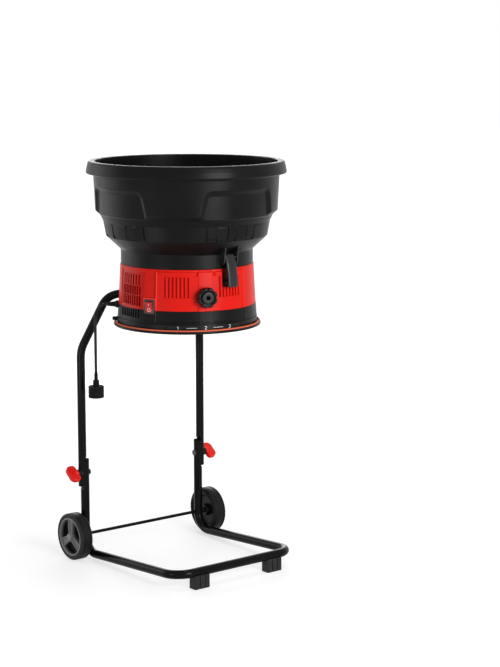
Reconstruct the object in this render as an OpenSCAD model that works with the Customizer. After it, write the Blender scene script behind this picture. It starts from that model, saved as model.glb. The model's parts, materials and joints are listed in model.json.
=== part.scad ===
// Leaf shredder: a round hopper and cutting head on a folding tube stand with two wheels.
// Millimetres, +Z up, floor at z = 0, the head's axis on x = 0, y = 0, front towards -Y.

/* [Hopper] */
// Height of the rolled rim
rim_h = 30; // [24:1:36]
// How far the rim stands out from the wall
rim_overhang = 18; // [14:1:24]
// Width of the rim's top land
rim_land = 21; // [17:1:24]
// Bevel on the rim's outer top edge
rim_bevel = 4; // [2:0.5:6]
// Height of the wide upper wall
wall_h = 84.5; // [70:1:100]
// How much wider the upper wall is at its top
wall_taper = 4; // [2:0.5:8]
// Height of the sloping shelf under the upper wall
shelf_h = 10; // [7:0.5:14]
// How far the shelf steps in
shelf_step = 10.5; // [7:0.5:14]
// Height of the cove under the shelf
cove_h = 14; // [10:0.5:18]
// How far the cove steps in
cove_step = 7.2; // [5:0.2:10]
// Height of the lower wall
lower_wall_h = 35; // [28:1:42]
// How much wider the lower wall is at its top
lower_wall_taper = 6.3; // [3:0.3:9]
// Height of the cone down to the neck
cone_h = 30; // [24:1:38]
// How far the cone steps in
cone_step = 34; // [28:1:40]
// Height of the neck
neck_h = 35.5; // [32:0.5:44]
// Wall of the hopper
hopper_wall = 3.5; // [2.5:0.1:4.5]
// Half the angle that a recessed panel covers
pocket_half_angle = 26; // [20:1:30]
// Depth of a recessed panel
pocket_depth = 6; // [3:0.5:8]
// Height of a recessed panel
pocket_h = 58; // [48:1:66]
// Width of a groove in the lower wall
groove_w = 1.6; // [1:0.1:2.4]
// Depth of a groove in the lower wall
groove_depth = 1.2; // [0.6:0.1:1.8]

/* [Latches] */
// Width of a latch lever
lever_w = 27; // [22:1:31]
// Length of a latch lever below its pin
lever_l = 67; // [60:1:72]
// Thickness of a latch lever
lever_t = 5; // [4:0.5:6]
// Radius of the curve of a latch lever
lever_curve_r = 190; // [150:5:260]
// Distance of the pin from the neck
latch_pin_reach = 9; // [8.5:0.5:11]
// Height of the pin above the seam
latch_pin_h = 26; // [22:1:30]
// Radius of a latch pin
latch_pin_r = 2; // [1.5:0.1:2.5]
// Thickness of an ear
ear_t = 3; // [2:0.5:4]
// Height of an ear
ear_h = 40; // [34:1:46]

/* [Housing] */
// Outer radius of the inner wall of the cutting chamber
tube_r = 149; // [140:1:158]
// Wall of the chamber
tube_wall = 3; // [2.5:0.1:4]
// Gap between the chamber wall and the top of the red shell
shell_gap = 4.5; // [4:0.1:6]
// Wall of the red shell
shell_wall = 3; // [2.4:0.1:3.6]
// How much wider the red shell is at its foot
shell_flare = 4.9; // [4:0.1:8]
// Height of the red shell
shell_h = 94; // [90:1:102]
// Height of the black lower band
band_h = 29.5; // [28:0.5:34]
// How much wider the lower band is at its foot
band_flare = 2.2; // [1:0.1:4]
// Raise of the control panel
panel_raise = 1.5; // [0.8:0.1:2.4]
// Raise of the strip under the clamp knob
strip_raise = 3.2; // [2.6:0.1:4.4]
// Width of the strip under the clamp knob
strip_w = 32; // [28:1:36]
// Width of a cooling slot
slot_w = 4; // [3:0.2:4.6]
// Height of a cooling slot
slot_h = 46; // [38:1:48]
// Number of cooling slots in a group
slot_count = 7; // [5:1:7]
// Width of the latch recess
recess_w = 37; // [36:1:48]
// Height of the latch recess
recess_h = 41.5; // [38:0.5:46]

/* [Size ring] */
// Height of the discharge flange above the floor
flange_low_z = 582; // [540:2:620]
// Thickness of the flange
flange_h = 6; // [5:0.5:8]
// How far the flange stands out
flange_reach = 8.7; // [7.5:0.1:11]
// Height of the ring's band
ring_band_h = 15.7; // [13:0.1:18]
// Radius of the section of the edge seal
seal_r = 2.2; // [1.6:0.1:2.6]
// Number of shutter bars
shutter_count = 8; // [6:1:12]
// Width of a shutter bar
shutter_w = 8; // [6:0.5:12]

/* [Motor and cutter] */
// Outer radius of the motor
motor_r = 46; // [42:1:50]
// Height of the motor cup
motor_h = 62; // [58:1:68]
// Wall of the motor cup
motor_wall = 3; // [2.5:0.1:4]
// Radius of the motor shaft
shaft_r = 5; // [4:0.5:6]
// Outer radius of a bearing
bearing_r = 13; // [11:0.5:15]
// Width of a bearing
bearing_w = 8; // [6:0.5:10]
// Radius of the cutter disc
disc_r = 62; // [50:1:72]
// Height of the cutter disc's hub
disc_h = 12; // [9:0.5:15]
// Gap between the tips of the cutting lines and the liner round them
line_gap = 21.2; // [12:0.1:40]
// Radius of a cutting line
line_r = 1.3; // [1:0.1:1.6]
// Width of an arm of the motor mount
mount_arm_w = 14; // [10:0.5:18]
// Height of an arm of the motor mount
mount_arm_h = 18; // [14:0.5:18]

/* [Controls] */
// Radius of the clamp knob
knob_r = 24; // [20:0.5:27]
// Height of the clamp knob
knob_h = 19; // [15:0.5:24]
// Number of lobes on the clamp knob
knob_lobes = 8; // [6:1:10]
// Radius of the clamp stud
stud_r = 4; // [3:0.25:5]
// Width of the switch bezel
bezel_w = 28; // [26:0.5:32]
// Height of the switch bezel
bezel_h = 33; // [30:0.5:36]
// Thickness of the switch bezel
bezel_t = 4; // [3.5:0.25:5]

/* [Stand] */
// Sideways place of a lower post
post_x = 171; // [165:0.5:180]
// Place of the posts behind the head's axis
post_y = 188; // [182:1:200]
// Outer radius of the base tube
post_r = 10.5; // [9.5:0.1:11.5]
// Outer radius of an arm tube
arm_r = 10; // [9:0.1:11]
// Wall of the tubes
tube_skin = 1.5; // [1.2:0.1:2]
// How far the arms stand outside the posts
lap_offset = 6.7; // [5.5:0.1:8]
// Height of the fold bolts
fold_z = 210.5; // [190:0.5:230]
// Half the length of the flattened lap
lap_half = 36; // [35:0.5:42]
// Height of the lower bend of an arm
arm_bend_z = 511; // [480:1:530]
// Straight length of an arm's upper end, which its plug fills
arm_plug_l = 8.4; // [5:0.2:14]
// Radius of the lower bend of an arm
arm_low_bend_r = 80; // [60:2:100]
// Radius of the upper bend of an arm
arm_top_bend_r = 52; // [42:1:58]
// Depth of the base loop in front of the head's axis
base_front = 185.6; // [170:1:200]
// Height of the front bar's middle
base_front_z = 38; // [34:0.5:42]
// Height of the rails' middle at the posts
base_rear_z = 13; // [12:0.5:18]
// Radius of the bend at a post's foot
base_foot_bend_r = 40; // [32:1:42]
// Radius of the front corners in plan
base_corner_r = 45; // [36:1:56]
// Radius of a fold bolt
bolt_r = 4; // [3.5:0.25:5]

/* [Wheels and feet] */
// Radius of a wheel over its tyre
wheel_r = 56.7; // [50:0.5:62]
// Width of a tyre
tyre_w = 32; // [26:1:36]
// Depth of a tyre's section
tyre_t = 9.7; // [8:0.1:12]
// Radius of the axle
axle_r = 4; // [3.5:0.25:5]
// Length of a spacer between a post and a wheel
spacer_l = 4.2; // [3.5:0.1:6]
// Sideways place of a front foot
foot_x = 107; // [90:1:120]
// Width of a front foot
foot_w = 43; // [36:1:50]
// Depth of a front foot
foot_d = 25; // [24.5:0.5:30]

/* [Plug and lead] */
// Radius of the lead
lead_r = 3.3; // [3:0.1:3.6]
// Radius of the plug
plug_r = 18; // [16:0.5:20]
// Height of the plug's cup
plug_h = 30; // [26:1:34]

/* [Hidden] */
$fn = 96;

// Clearances: still parts, parts that turn or slide by, running fits, and the overrun of cuts
seat_gap = 0.1;
pass_gap = 0.3;
run_fit = 0.05;
over = 1;

// Weld sleeves of the tubes: length, thickness and the gap that they bridge
weld_l = 2;
weld_t = 0.04;
weld_gap = 0.1;

// Levels of the head from the flange up
flange_z = flange_low_z + flange_h;
ring_top_z = flange_z + ring_band_h;
housing_z = ring_top_z + pass_gap;
ledge_z = housing_z + band_h;
seam_z = ledge_z + shell_h;
cone_z = seam_z + neck_h;
lower_wall_z = cone_z + cone_h;
cove_z = lower_wall_z + lower_wall_h;
shelf_z = cove_z + cove_h;
wall_z = shelf_z + shelf_h;
rim_z = wall_z + wall_h;
rim_top_z = rim_z + rim_h;

// Radii of the head from the chamber wall outwards
chamber_r = tube_r - tube_wall;
shell_top_r = tube_r + shell_gap + shell_wall;
shell_low_r = shell_top_r + shell_flare;
band_inset = 0.4;
band_top_r = shell_low_r + band_inset;
band_low_r = band_top_r + band_flare;
band_wall = 3.8;
channel_r = band_top_r - band_wall;
neck_inset = 1.5;
neck_r = shell_top_r - neck_inset;
lower_wall_r = neck_r + cone_step;
cove_r = lower_wall_r + lower_wall_taper;
shelf_r = cove_r + cove_step;
wall_low_r = shelf_r + shelf_step;
wall_top_r = wall_low_r + wall_taper;
rim_r = wall_top_r + rim_overhang;

// Places around the head, as angles from the front
knob_angle = -21.5;
switch_angle = -68;
gland_angle = -125;
side_vent_angle = -92;
panel_from_angle = -62.5;
panel_to_angle = 17;
slot_group_angles = [-45.5, 0.5];
slot_pitch_angle = 3.2;
groove_angles = [-23.4, -7.9, 7.9, 23.4];
quarter_angles = [0, 90, 180, 270];
latch_angles = [0, 180];
shell_screw_angles = [-45, 45, 90, 160];
clip_angles = [20, 70, 110, 200];
mount_arm_angles = [22.5, 112.5, 202.5, 292.5];

// Radius of the red shell's outside at a height
function shell_r_at(z) = shell_top_r + shell_flare * (seam_z - z) / shell_h;

// Rail of a repeated slot: angles of n slots about a middle
function row_angles(middle, count, pitch) = [for (i = [0:count - 1]) middle + (i - (count - 1) / 2) * pitch];

// Places children at an angle round the head, their -Y pointing outwards
module around(angle) {
    rotate([0, 0, angle]) children();
}

// Places children with +Z pointing outwards at an angle, radius and height
module outwards(angle, radius, z) {
    around(angle) translate([0, -radius, z]) rotate([90, 0, 0]) children();
}

// Ring sector of a flat profile, from one angle round to another
module sector(from_angle, to_angle) {
    around(from_angle - 90) rotate_extrude(angle = to_angle - from_angle) children();
}

// Plain ring from two radii and two levels
module ring(r_in, r_out, z_low, z_high) {
    translate([0, 0, z_low]) difference() {
        cylinder(r = r_out, h = z_high - z_low);
        translate([0, 0, -over]) cylinder(r = r_in, h = z_high - z_low + 2 * over);
    }
}

// Tube runs: straight lengths joined by round elbows
function unit(v) = v / norm(v);
function turn_angle(a, b) = acos(max(-1, min(1, a * b)));
function side_of(d) = unit(cross(abs(d.z) > cos(45) ? [1, 0, 0] : [0, 0, 1], d));
function placed_frame(x, y, z, at) = [
    [x.x, y.x, z.x, at.x], [x.y, y.y, z.y, at.y], [x.z, y.z, z.z, at.z], [0, 0, 0, 1]
];

module tube_length(from, dir, length, r_out, r_in) {
    side = side_of(dir);
    multmatrix(placed_frame(side, cross(dir, side), dir, from)) linear_extrude(length) difference() {
        circle(r_out);
        circle(r_in);
    }
}

// A thin weld sleeve bridges each joint between a straight length and an elbow
module tube_run(points, bends, r_out, r_in) {
    last = len(points) - 1;
    dirs = [for (i = [0:last - 1]) unit(points[i + 1] - points[i])];
    trims = [for (i = [0:last])
        i == 0 || i == last ? 0 : bends[i - 1] * tan(turn_angle(dirs[i - 1], dirs[i]) / 2)];
    for (i = [0:last - 1])
        tube_length(points[i] + dirs[i] * (trims[i] + weld_gap), dirs[i],
            norm(points[i + 1] - points[i]) - trims[i] - trims[i + 1] - 2 * weld_gap, r_out, r_in);
    for (i = [1:last - 1]) {
        inward = unit(dirs[i] - dirs[i - 1] * (dirs[i] * dirs[i - 1]));
        middle = points[i] - dirs[i - 1] * trims[i] + inward * bends[i - 1];
        multmatrix(placed_frame(-inward, dirs[i - 1], cross(dirs[i - 1], inward), middle))
            rotate_extrude(angle = turn_angle(dirs[i - 1], dirs[i]))
                translate([bends[i - 1], 0]) difference() {
                    circle(r_out);
                    circle(r_in);
                }
        tube_length(points[i] - dirs[i - 1] * (trims[i] + weld_l / 2), dirs[i - 1], weld_l,
            r_out + weld_t, r_in - weld_t);
        tube_length(points[i] + dirs[i] * (trims[i] - weld_l / 2), dirs[i], weld_l,
            r_out + weld_t, r_in - weld_t);
    }
}

// Flattened tube: a round section cut off at a flat face on its +X side
module flat_side(r, flat) {
    intersection() {
        circle(r);
        translate([-r, -r]) square([r + flat, 2 * r]);
    }
}

module lap_section(r, flat) {
    difference() {
        flat_side(r, flat);
        flat_side(r - tube_skin, flat - tube_skin);
    }
}

// Plate that closes the round bore where the flattening starts
module lap_shoulder(r, flat) {
    translate([0, 0, -tube_skin / 2]) linear_extrude(tube_skin) difference() {
        circle(r + weld_t);
        flat_side(r - tube_skin - weld_t, flat - tube_skin - weld_t);
    }
}

// Both sides of the stand
module both_sides() {
    children();
    mirror([1, 0, 0]) children();
}

// Stand
arm_x = post_x + lap_offset;
arm_flat = lap_offset / 2 - pass_gap / 2;
arm_reach = norm([arm_x, post_y]);
arm_angle = 180 - atan2(arm_x, post_y);
arm_entry_drop = 78.5;
arm_z = seam_z - arm_entry_drop;
arm_end_s = tube_r + pass_gap;
knee_tries = 12;
arm_knee_s = knee_after(knee_tries);
arm_lean = lean_from(arm_knee_s);
arm_tail = 31.3;
lap_top_z = fold_z + lap_half;
lap_low_z = fold_z - lap_half;
post_top_z = fold_z + arm_tail;
arm_low_z = fold_z - arm_tail;
base_path = [
    [-post_x, post_y, lap_low_z], [-post_x, post_y, base_rear_z], [-post_x, -base_front, base_front_z],
    [post_x, -base_front, base_front_z], [post_x, post_y, base_rear_z], [post_x, post_y, lap_low_z]
];
base_bends = [base_foot_bend_r, base_corner_r, base_corner_r, base_foot_bend_r];

arm_path = [
    [arm_reach, 0, lap_top_z], [arm_reach, 0, arm_bend_z], [arm_knee_s, 0, arm_z], [arm_end_s, 0, arm_z]
];

module along_x(x, y, z) {
    translate([x, y, z]) rotate([0, 90, 0]) children();
}

module base_loop() {
    color([0.06, 0.06, 0.065]) difference() {
        union() {
            tube_run(base_path, base_bends, post_r, post_r - tube_skin);
            both_sides() translate([post_x, post_y, lap_low_z]) {
                translate([0, 0, weld_gap]) linear_extrude(post_top_z - lap_low_z - weld_gap)
                    lap_section(post_r, arm_flat);
                lap_shoulder(post_r, arm_flat);
            }
        }
        both_sides() {
            along_x(post_x - post_r - over, post_y, fold_z) cylinder(r = bolt_r, h = 2 * (post_r + over));
            along_x(post_x - post_r - over, post_y, wheel_r) cylinder(r = axle_r, h = 2 * (post_r + over));
            foot_screw_place() cylinder(r = foot_screw_r, h = 2 * post_r);
        }
    }
}

// Front feet
foot_rise = 5;
foot_top_z = base_front_z - post_r + foot_rise;
foot_back_y = -base_front + foot_d / 2;
foot_screw_r = 2.5;
foot_screw_head_r = 5;
foot_screw_head_h = 4;
foot_screw_sink = 14;
foot_groove_w = 2.4;
foot_groove_d = 1.2;
foot_groove_share = 1 / 6;

module foot_screw_place() {
    translate([foot_x, -base_front, foot_screw_sink]) children();
}

module front_feet() {
    color([0.1, 0.1, 0.105]) both_sides() difference() {
        translate([foot_x - foot_w / 2, foot_back_y - foot_d, 0]) cube([foot_w, foot_d, foot_top_z]);
        along_x(foot_x - foot_w / 2 - over, -base_front, base_front_z)
            cylinder(r = post_r + seat_gap, h = foot_w + 2 * over);
        translate([foot_x, -base_front, -over])
            cylinder(r = foot_screw_head_r + pass_gap, h = foot_screw_sink + over);
        translate([foot_x, -base_front, 0]) cylinder(r = foot_screw_r + seat_gap, h = foot_top_z);
        for (side = [-1, 1])
            translate([foot_x + side * foot_w * foot_groove_share, foot_back_y - foot_d, 0])
                translate([-foot_groove_w / 2, -over, -over])
                    cube([foot_groove_w, foot_groove_d + over, foot_top_z + 2 * over]);
    }
}

module feet_screws() {
    color([0.6, 0.6, 0.62]) both_sides() foot_screw_place() {
        translate([0, 0, -foot_screw_head_h]) cylinder(r = foot_screw_head_r, h = foot_screw_head_h);
        cylinder(r = foot_screw_r, h = base_front_z - foot_screw_sink);
    }
}

// Wheels, axle and what holds them
hub_in_x = post_x + post_r + spacer_l;
wheel_in_x = hub_in_x + pass_gap;
wheel_out_x = wheel_in_x + tyre_w;
hub_r = 13;
wheel_rim_t = 7;
rim_in_r = wheel_r - tyre_t - wheel_rim_t;
spoke_w = 12;
spoke_count = 3;
wheel_inset = 3;
wheel_web_t = 4;
cap_r = 8;
cap_t = 1.6;
spacer_r = 7.5;
tread_groove_w = 2.5;
tread_groove_d = 1.2;
tread_shares = [1 / 4, 3 / 4];

module axle() {
    color([0.2, 0.2, 0.21]) along_x(-wheel_out_x - cap_t / 2, post_y, wheel_r)
        cylinder(r = axle_r, h = 2 * wheel_out_x + cap_t);
}

module axle_caps() {
    color([0.12, 0.12, 0.12]) both_sides() along_x(wheel_out_x - wheel_inset + pass_gap, post_y, wheel_r)
        difference() {
            cylinder(r = cap_r, h = wheel_inset + cap_t);
            translate([0, 0, -over]) cylinder(r = axle_r, h = wheel_inset + cap_t / 2 - pass_gap + over);
        }
}

module wheel_spacers() {
    color([0.08, 0.08, 0.08]) both_sides() difference() {
        along_x(post_x, post_y, wheel_r) cylinder(r = spacer_r, h = post_r + spacer_l);
        along_x(post_x - over, post_y, wheel_r) cylinder(r = axle_r, h = post_r + spacer_l + 2 * over);
        translate([post_x, post_y, wheel_r - 2 * spacer_r]) cylinder(r = post_r + seat_gap, h = 4 * spacer_r);
    }
}

module tyre() {
    color([0.09, 0.09, 0.095]) along_x(wheel_in_x, post_y, wheel_r) difference() {
        cylinder(r = wheel_r, h = tyre_w);
        translate([0, 0, -over]) cylinder(r = wheel_r - tyre_t, h = tyre_w + 2 * over);
        for (share = tread_shares)
            translate([0, 0, tyre_w * share - tread_groove_w / 2])
                ring(wheel_r - tread_groove_d, wheel_r + over, 0, tread_groove_w);
    }
}

module wheel() {
    color([0.2, 0.2, 0.205]) along_x(wheel_in_x, post_y, wheel_r) difference() {
        union() {
            ring(rim_in_r, wheel_r - tyre_t, wheel_inset, tyre_w - wheel_inset);
            cylinder(r = hub_r, h = tyre_w - wheel_inset);
            translate([0, 0, tyre_w / 2 - wheel_web_t / 2]) cylinder(r = rim_in_r + over, h = wheel_web_t);
            for (i = [0:spoke_count - 1])
                rotate([0, 0, 180 + i * 360 / spoke_count]) translate([0, -spoke_w / 2, tyre_w / 2])
                    cube([rim_in_r + over, spoke_w, tyre_w / 2 - 2 * wheel_inset]);
        }
        translate([0, 0, -over]) cylinder(r = axle_r + run_fit, h = tyre_w + 2 * over);
    }
}

module left_tyre() { mirror([1, 0, 0]) tyre(); }
module right_tyre() { tyre(); }
module left_wheel() { mirror([1, 0, 0]) wheel(); }
module right_wheel() { wheel(); }

// Fold joint
bolt_head_r = 7;
bolt_head_t = 2.5;
washer_r = 9.5;
washer_t = 4;
washer_out_x = arm_x + arm_r + washer_t;
wing_l = 44;
wing_h = 30;
wing_t = 12;
wing_hub_r = 8.5;
wing_hub_h = 1.6;
wing_tilt = 38;
bolt_tip_x = washer_out_x + wing_hub_h + wing_h / 2;

module post_caps() {
    color([0.07, 0.07, 0.07]) both_sides() translate([post_x, post_y, post_top_z]) {
        linear_extrude(tube_skin) flat_side(post_r, arm_flat);
        translate([0, 0, -post_r]) linear_extrude(post_r)
            flat_side(post_r - tube_skin - seat_gap, arm_flat - tube_skin - seat_gap);
    }
}

module fold_bolts() {
    color([0.65, 0.65, 0.67]) both_sides() {
        along_x(post_x - post_r - bolt_head_t, post_y, fold_z) cylinder(r = bolt_head_r, h = bolt_head_t);
        along_x(post_x - post_r, post_y, fold_z) cylinder(r = bolt_r, h = bolt_tip_x - post_x + post_r);
    }
}

module arm() {
    difference() {
        union() {
            around(arm_angle - 90)
                tube_run(arm_path, [arm_low_bend_r, arm_top_bend_r], arm_r, arm_r - tube_skin);
            around(arm_angle - 90) translate([arm_reach, 0, arm_low_z]) rotate([0, 0, 180 + 90 - arm_angle]) {
                linear_extrude(lap_top_z - arm_low_z - weld_gap) lap_section(arm_r, arm_flat);
                translate([0, 0, lap_top_z - arm_low_z]) lap_shoulder(arm_r, arm_flat);
            }
        }
        along_x(arm_x - arm_r - over, post_y, fold_z) cylinder(r = bolt_r + run_fit, h = 2 * (arm_r + over));
    }
}

module left_arm() { color([0.05, 0.05, 0.055]) mirror([1, 0, 0]) arm(); }
module right_arm() { color([0.05, 0.05, 0.055]) arm(); }

module saddle_washers() {
    color([0.1, 0.1, 0.1]) both_sides() difference() {
        along_x(arm_x, post_y, fold_z) cylinder(r = washer_r, h = washer_out_x - arm_x);
        translate([arm_x, post_y, fold_z - washer_r - over])
            cylinder(r = arm_r + seat_gap, h = 2 * (washer_r + over));
        along_x(arm_x - over, post_y, fold_z)
            cylinder(r = bolt_r + run_fit, h = washer_out_x - arm_x + 2 * over);
    }
}

module arm_foot_caps() {
    color([0.07, 0.07, 0.07]) both_sides() translate([arm_x, post_y, arm_low_z]) rotate([0, 0, 180]) {
        translate([0, 0, -tube_skin]) linear_extrude(tube_skin) flat_side(arm_r, arm_flat);
        linear_extrude(arm_r) flat_side(arm_r - tube_skin - seat_gap, arm_flat - tube_skin - seat_gap);
    }
}

module wing_knob() {
    color([0.9, 0.07, 0.05]) difference() {
        translate([washer_out_x + pass_gap, post_y, fold_z]) rotate([wing_tilt, 0, 0]) {
            rotate([0, 90, 0]) cylinder(r = wing_hub_r, h = wing_hub_h + wing_h / 2);
            translate([wing_hub_h + wing_h / 2, 0, -wing_t / 2]) linear_extrude(wing_t) {
                for (side = [-1, 1]) translate([0, side * (wing_l - wing_h) / 2]) circle(wing_h / 2);
                square([wing_h, wing_l - wing_h], center = true);
            }
        }
        along_x(washer_out_x, post_y, fold_z)
            cylinder(r = bolt_r + run_fit, h = bolt_tip_x - washer_out_x + pass_gap);
    }
}

module left_wing_knob() { mirror([1, 0, 0]) wing_knob(); }
module right_wing_knob() { wing_knob(); }

// Arm ends in the housing
arm_plug_depth = 24;
arm_bolt_r = 3;
arm_bolt_head_r = 6;
arm_bolt_head_t = 4;
socket_wall = 4;

module arm_end_plugs() {
    color([0.3, 0.3, 0.3]) both_sides() outwards(arm_angle, arm_end_s, arm_z) difference() {
        translate([0, 0, seat_gap]) cylinder(r = arm_r - tube_skin - seat_gap, h = arm_plug_l);
        translate([0, 0, -over]) cylinder(r = arm_bolt_r + seat_gap, h = arm_plug_depth);
    }
}

// Lean of an arm whose knee stands at s
function lean_from(s) = atan((arm_reach - s) / (arm_z - arm_bend_z));

// The knee that leaves the plug's straight length, since the bend's reach depends on the lean
function knee_after(tries) = arm_end_s + arm_plug_l
    + (tries == 0 ? arm_top_bend_r : arm_top_bend_r * tan((90 - lean_from(knee_after(tries - 1))) / 2));

module arm_bolts() {
    color([0.6, 0.6, 0.62]) both_sides() outwards(arm_angle, chamber_r - arm_bolt_head_t - seat_gap, arm_z) {
        cylinder(r = arm_bolt_head_r, h = arm_bolt_head_t);
        cylinder(r = arm_bolt_r, h = arm_bolt_head_t + tube_wall + arm_plug_l);
    }
}

// Housing
ledge_t = 3;
liner_ledge_w = 3.5;
liner_t = 2.6;
liner_lift = 15;
liner_z = arm_z + liner_lift;
keeper_w = 24;
keeper_t = 4;
keeper_reach = 8.5;
shell_screw_r = 2;
shell_screw_head_r = 3.6;
shell_screw_head_h = 3;
shell_boss_r = 3.3;
shell_boss_h = 15;
screw_ring_r = tube_r + pass_gap + shell_boss_r;
boss_web_l = shell_low_r - shell_wall / 2 - screw_ring_r;
mount_screw_r = 2.5;
mount_screw_head_r = 3.6;
mount_screw_head_t = 2.6;
mount_screw_l = 24;
mount_screw_z = ledge_z - mount_arm_h / 2 - over;
black_vent_count = 9;
black_vent_w = 3.4;
black_vent_lift = 10;
black_vent_z = housing_z + black_vent_lift;
black_vent_h = 17;
black_vent_pitch_angle = 3;
panel_margin = 5.5;
panel_low_z = housing_z + panel_margin;
panel_top_z = seam_z - panel_margin;
pad_margin = 2.5;
pad_raise = 2.5;
pad_w = bezel_w + 2 * pad_margin;
pad_h = bezel_h + 2 * pad_margin;
pad_face_r = band_top_r + pad_raise;
switch_lift = 8.5;
switch_z = ledge_z + switch_lift;
bezel_lap = 2.5;
switch_hole_w = bezel_w - 2 * bezel_lap;
switch_hole_h = bezel_h - 2 * bezel_lap;
gland_drop = 4.5;
gland_z = ledge_z - gland_drop;
gland_boss_r = 9;
gland_boss_l = 1.5;
lever_pin_z = seam_z + latch_pin_h;
lever_pin_y = neck_r + latch_pin_reach;
hook_drop = 54;
hook_z = lever_pin_z - hook_drop;
wire_r = 1.8;
wire_ring_r = tube_r + pass_gap + wire_r;
wire_z = ledge_z + wire_r + pass_gap;

// Raised skin on the outside between two radii at two heights
module raised_skin(low_r, low_z, top_r, top_z, raise) {
    polygon([
        [low_r - shell_wall / 2, low_z], [low_r + raise, low_z],
        [top_r + raise, top_z], [top_r - shell_wall / 2, top_z]
    ]);
}

function band_r_at(z) = band_top_r + band_flare * (ledge_z - z) / band_h;

module band_skin(raise) {
    raised_skin(band_r_at(panel_low_z), panel_low_z, band_top_r, ledge_z, raise);
}

module shell_skin(raise) {
    raised_skin(shell_low_r, ledge_z, shell_r_at(panel_top_z), panel_top_z, raise);
}

function strip_half_angle() = asin(strip_w / 2 / shell_low_r);

module switch_pad(z_low, z_high) {
    around(switch_angle) translate([-pad_w / 2, -pad_face_r, z_low])
        cube([pad_w, pad_face_r - channel_r + over, z_high - z_low]);
}

module switch_opening() {
    around(switch_angle) translate([-switch_hole_w / 2, -pad_face_r - over, switch_z - switch_hole_h / 2])
        cube([switch_hole_w, pad_face_r - tube_r - pass_gap + over, switch_hole_h]);
}

module lower_housing() {
    color([0.08, 0.08, 0.085]) difference() {
        union() {
            rotate_extrude() polygon([
                [chamber_r, housing_z], [tube_r, housing_z], [tube_r, ledge_z - ledge_t],
                [channel_r, ledge_z - ledge_t], [channel_r, housing_z], [band_low_r, housing_z],
                [band_top_r, ledge_z], [tube_r, ledge_z],
                [tube_r, seam_z + ledge_t], [chamber_r, seam_z + ledge_t],
                [chamber_r, liner_z], [chamber_r - liner_ledge_w, liner_z],
                [chamber_r - liner_ledge_w, liner_z - ledge_t], [chamber_r, liner_z - ledge_t - liner_ledge_w]
            ]);
            sector(panel_from_angle, panel_to_angle) band_skin(panel_raise);
            sector(knob_angle - strip_half_angle(), knob_angle + strip_half_angle()) band_skin(strip_raise);
            intersection() {
                switch_pad(switch_z - pad_h / 2, ledge_z);
                ring(channel_r, rim_r, housing_z, ledge_z);
            }
            both_sides() outwards(arm_angle, tube_r - tube_wall / 2, arm_z)
                cylinder(r = arm_r + socket_wall, h = shell_gap + tube_wall / 2);
            outwards(gland_angle, channel_r, gland_z)
                cylinder(r = gland_boss_r, h = band_low_r - channel_r + gland_boss_l);
            for (a = latch_angles) around(a)
                translate([-keeper_w / 2, -tube_r - keeper_reach, hook_z + pass_gap])
                    cube([keeper_w, keeper_reach + tube_wall / 2, keeper_t]);
        }
        switch_opening();
        outwards(gland_angle, tube_r + shell_gap, gland_z) cylinder(r = gland_hole_r, h = rim_r - tube_r);
        both_sides() {
            outwards(arm_angle, arm_end_s, arm_z) cylinder(r = arm_r + seat_gap, h = rim_r - arm_end_s);
            outwards(arm_angle, chamber_r - over, arm_z)
                cylinder(r = arm_bolt_r + seat_gap, h = tube_wall + 2 * over);
        }
        for (a = shell_screw_angles) around(a) translate([0, -screw_ring_r, ledge_z - ledge_t - over])
            cylinder(r = shell_screw_r + seat_gap, h = ledge_t + 2 * over);
        for (a = mount_arm_angles) outwards(a, chamber_r - over, mount_screw_z)
            cylinder(r = mount_screw_r + seat_gap, h = tube_wall + 2 * over);
        around(knob_angle) translate([-bar_w / 2 - pass_gap, -bar_out_r - pass_gap, ledge_z - ledge_t - over])
            cube([bar_w + 2 * pass_gap, bar_t + 2 * pass_gap, ledge_t + 2 * over]);
        for (a = row_angles(side_vent_angle, black_vent_count, black_vent_pitch_angle)) around(a)
            translate([-black_vent_w / 2, -rim_r, black_vent_z])
                cube([black_vent_w, rim_r - tube_r - shell_gap, black_vent_h]);
        outwards(wire_angle, chamber_r - over, wire_z + pass_gap)
            cylinder(r = wire_r + pass_gap, h = tube_wall + 2 * over);
    }
}

// Red shell
slot_top_drop = 17;
slot_z = seam_z - slot_top_drop - slot_h;
side_row_counts = [7, 9, 9];
side_row_pitch_angles = [3.6, 3, 3];
side_row_drop_shares = [0.17, 0.45, 0.69];
side_row_h_shares = [0.25, 0.21, 0.23];
side_slot_w = 3.4;
lip_t = 3;

module shell_slot(angle, width, z, height) {
    around(angle) translate([-width / 2, -rim_r, z])
        cube([width, rim_r - tube_r - shell_gap / 2, height]);
}

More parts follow.
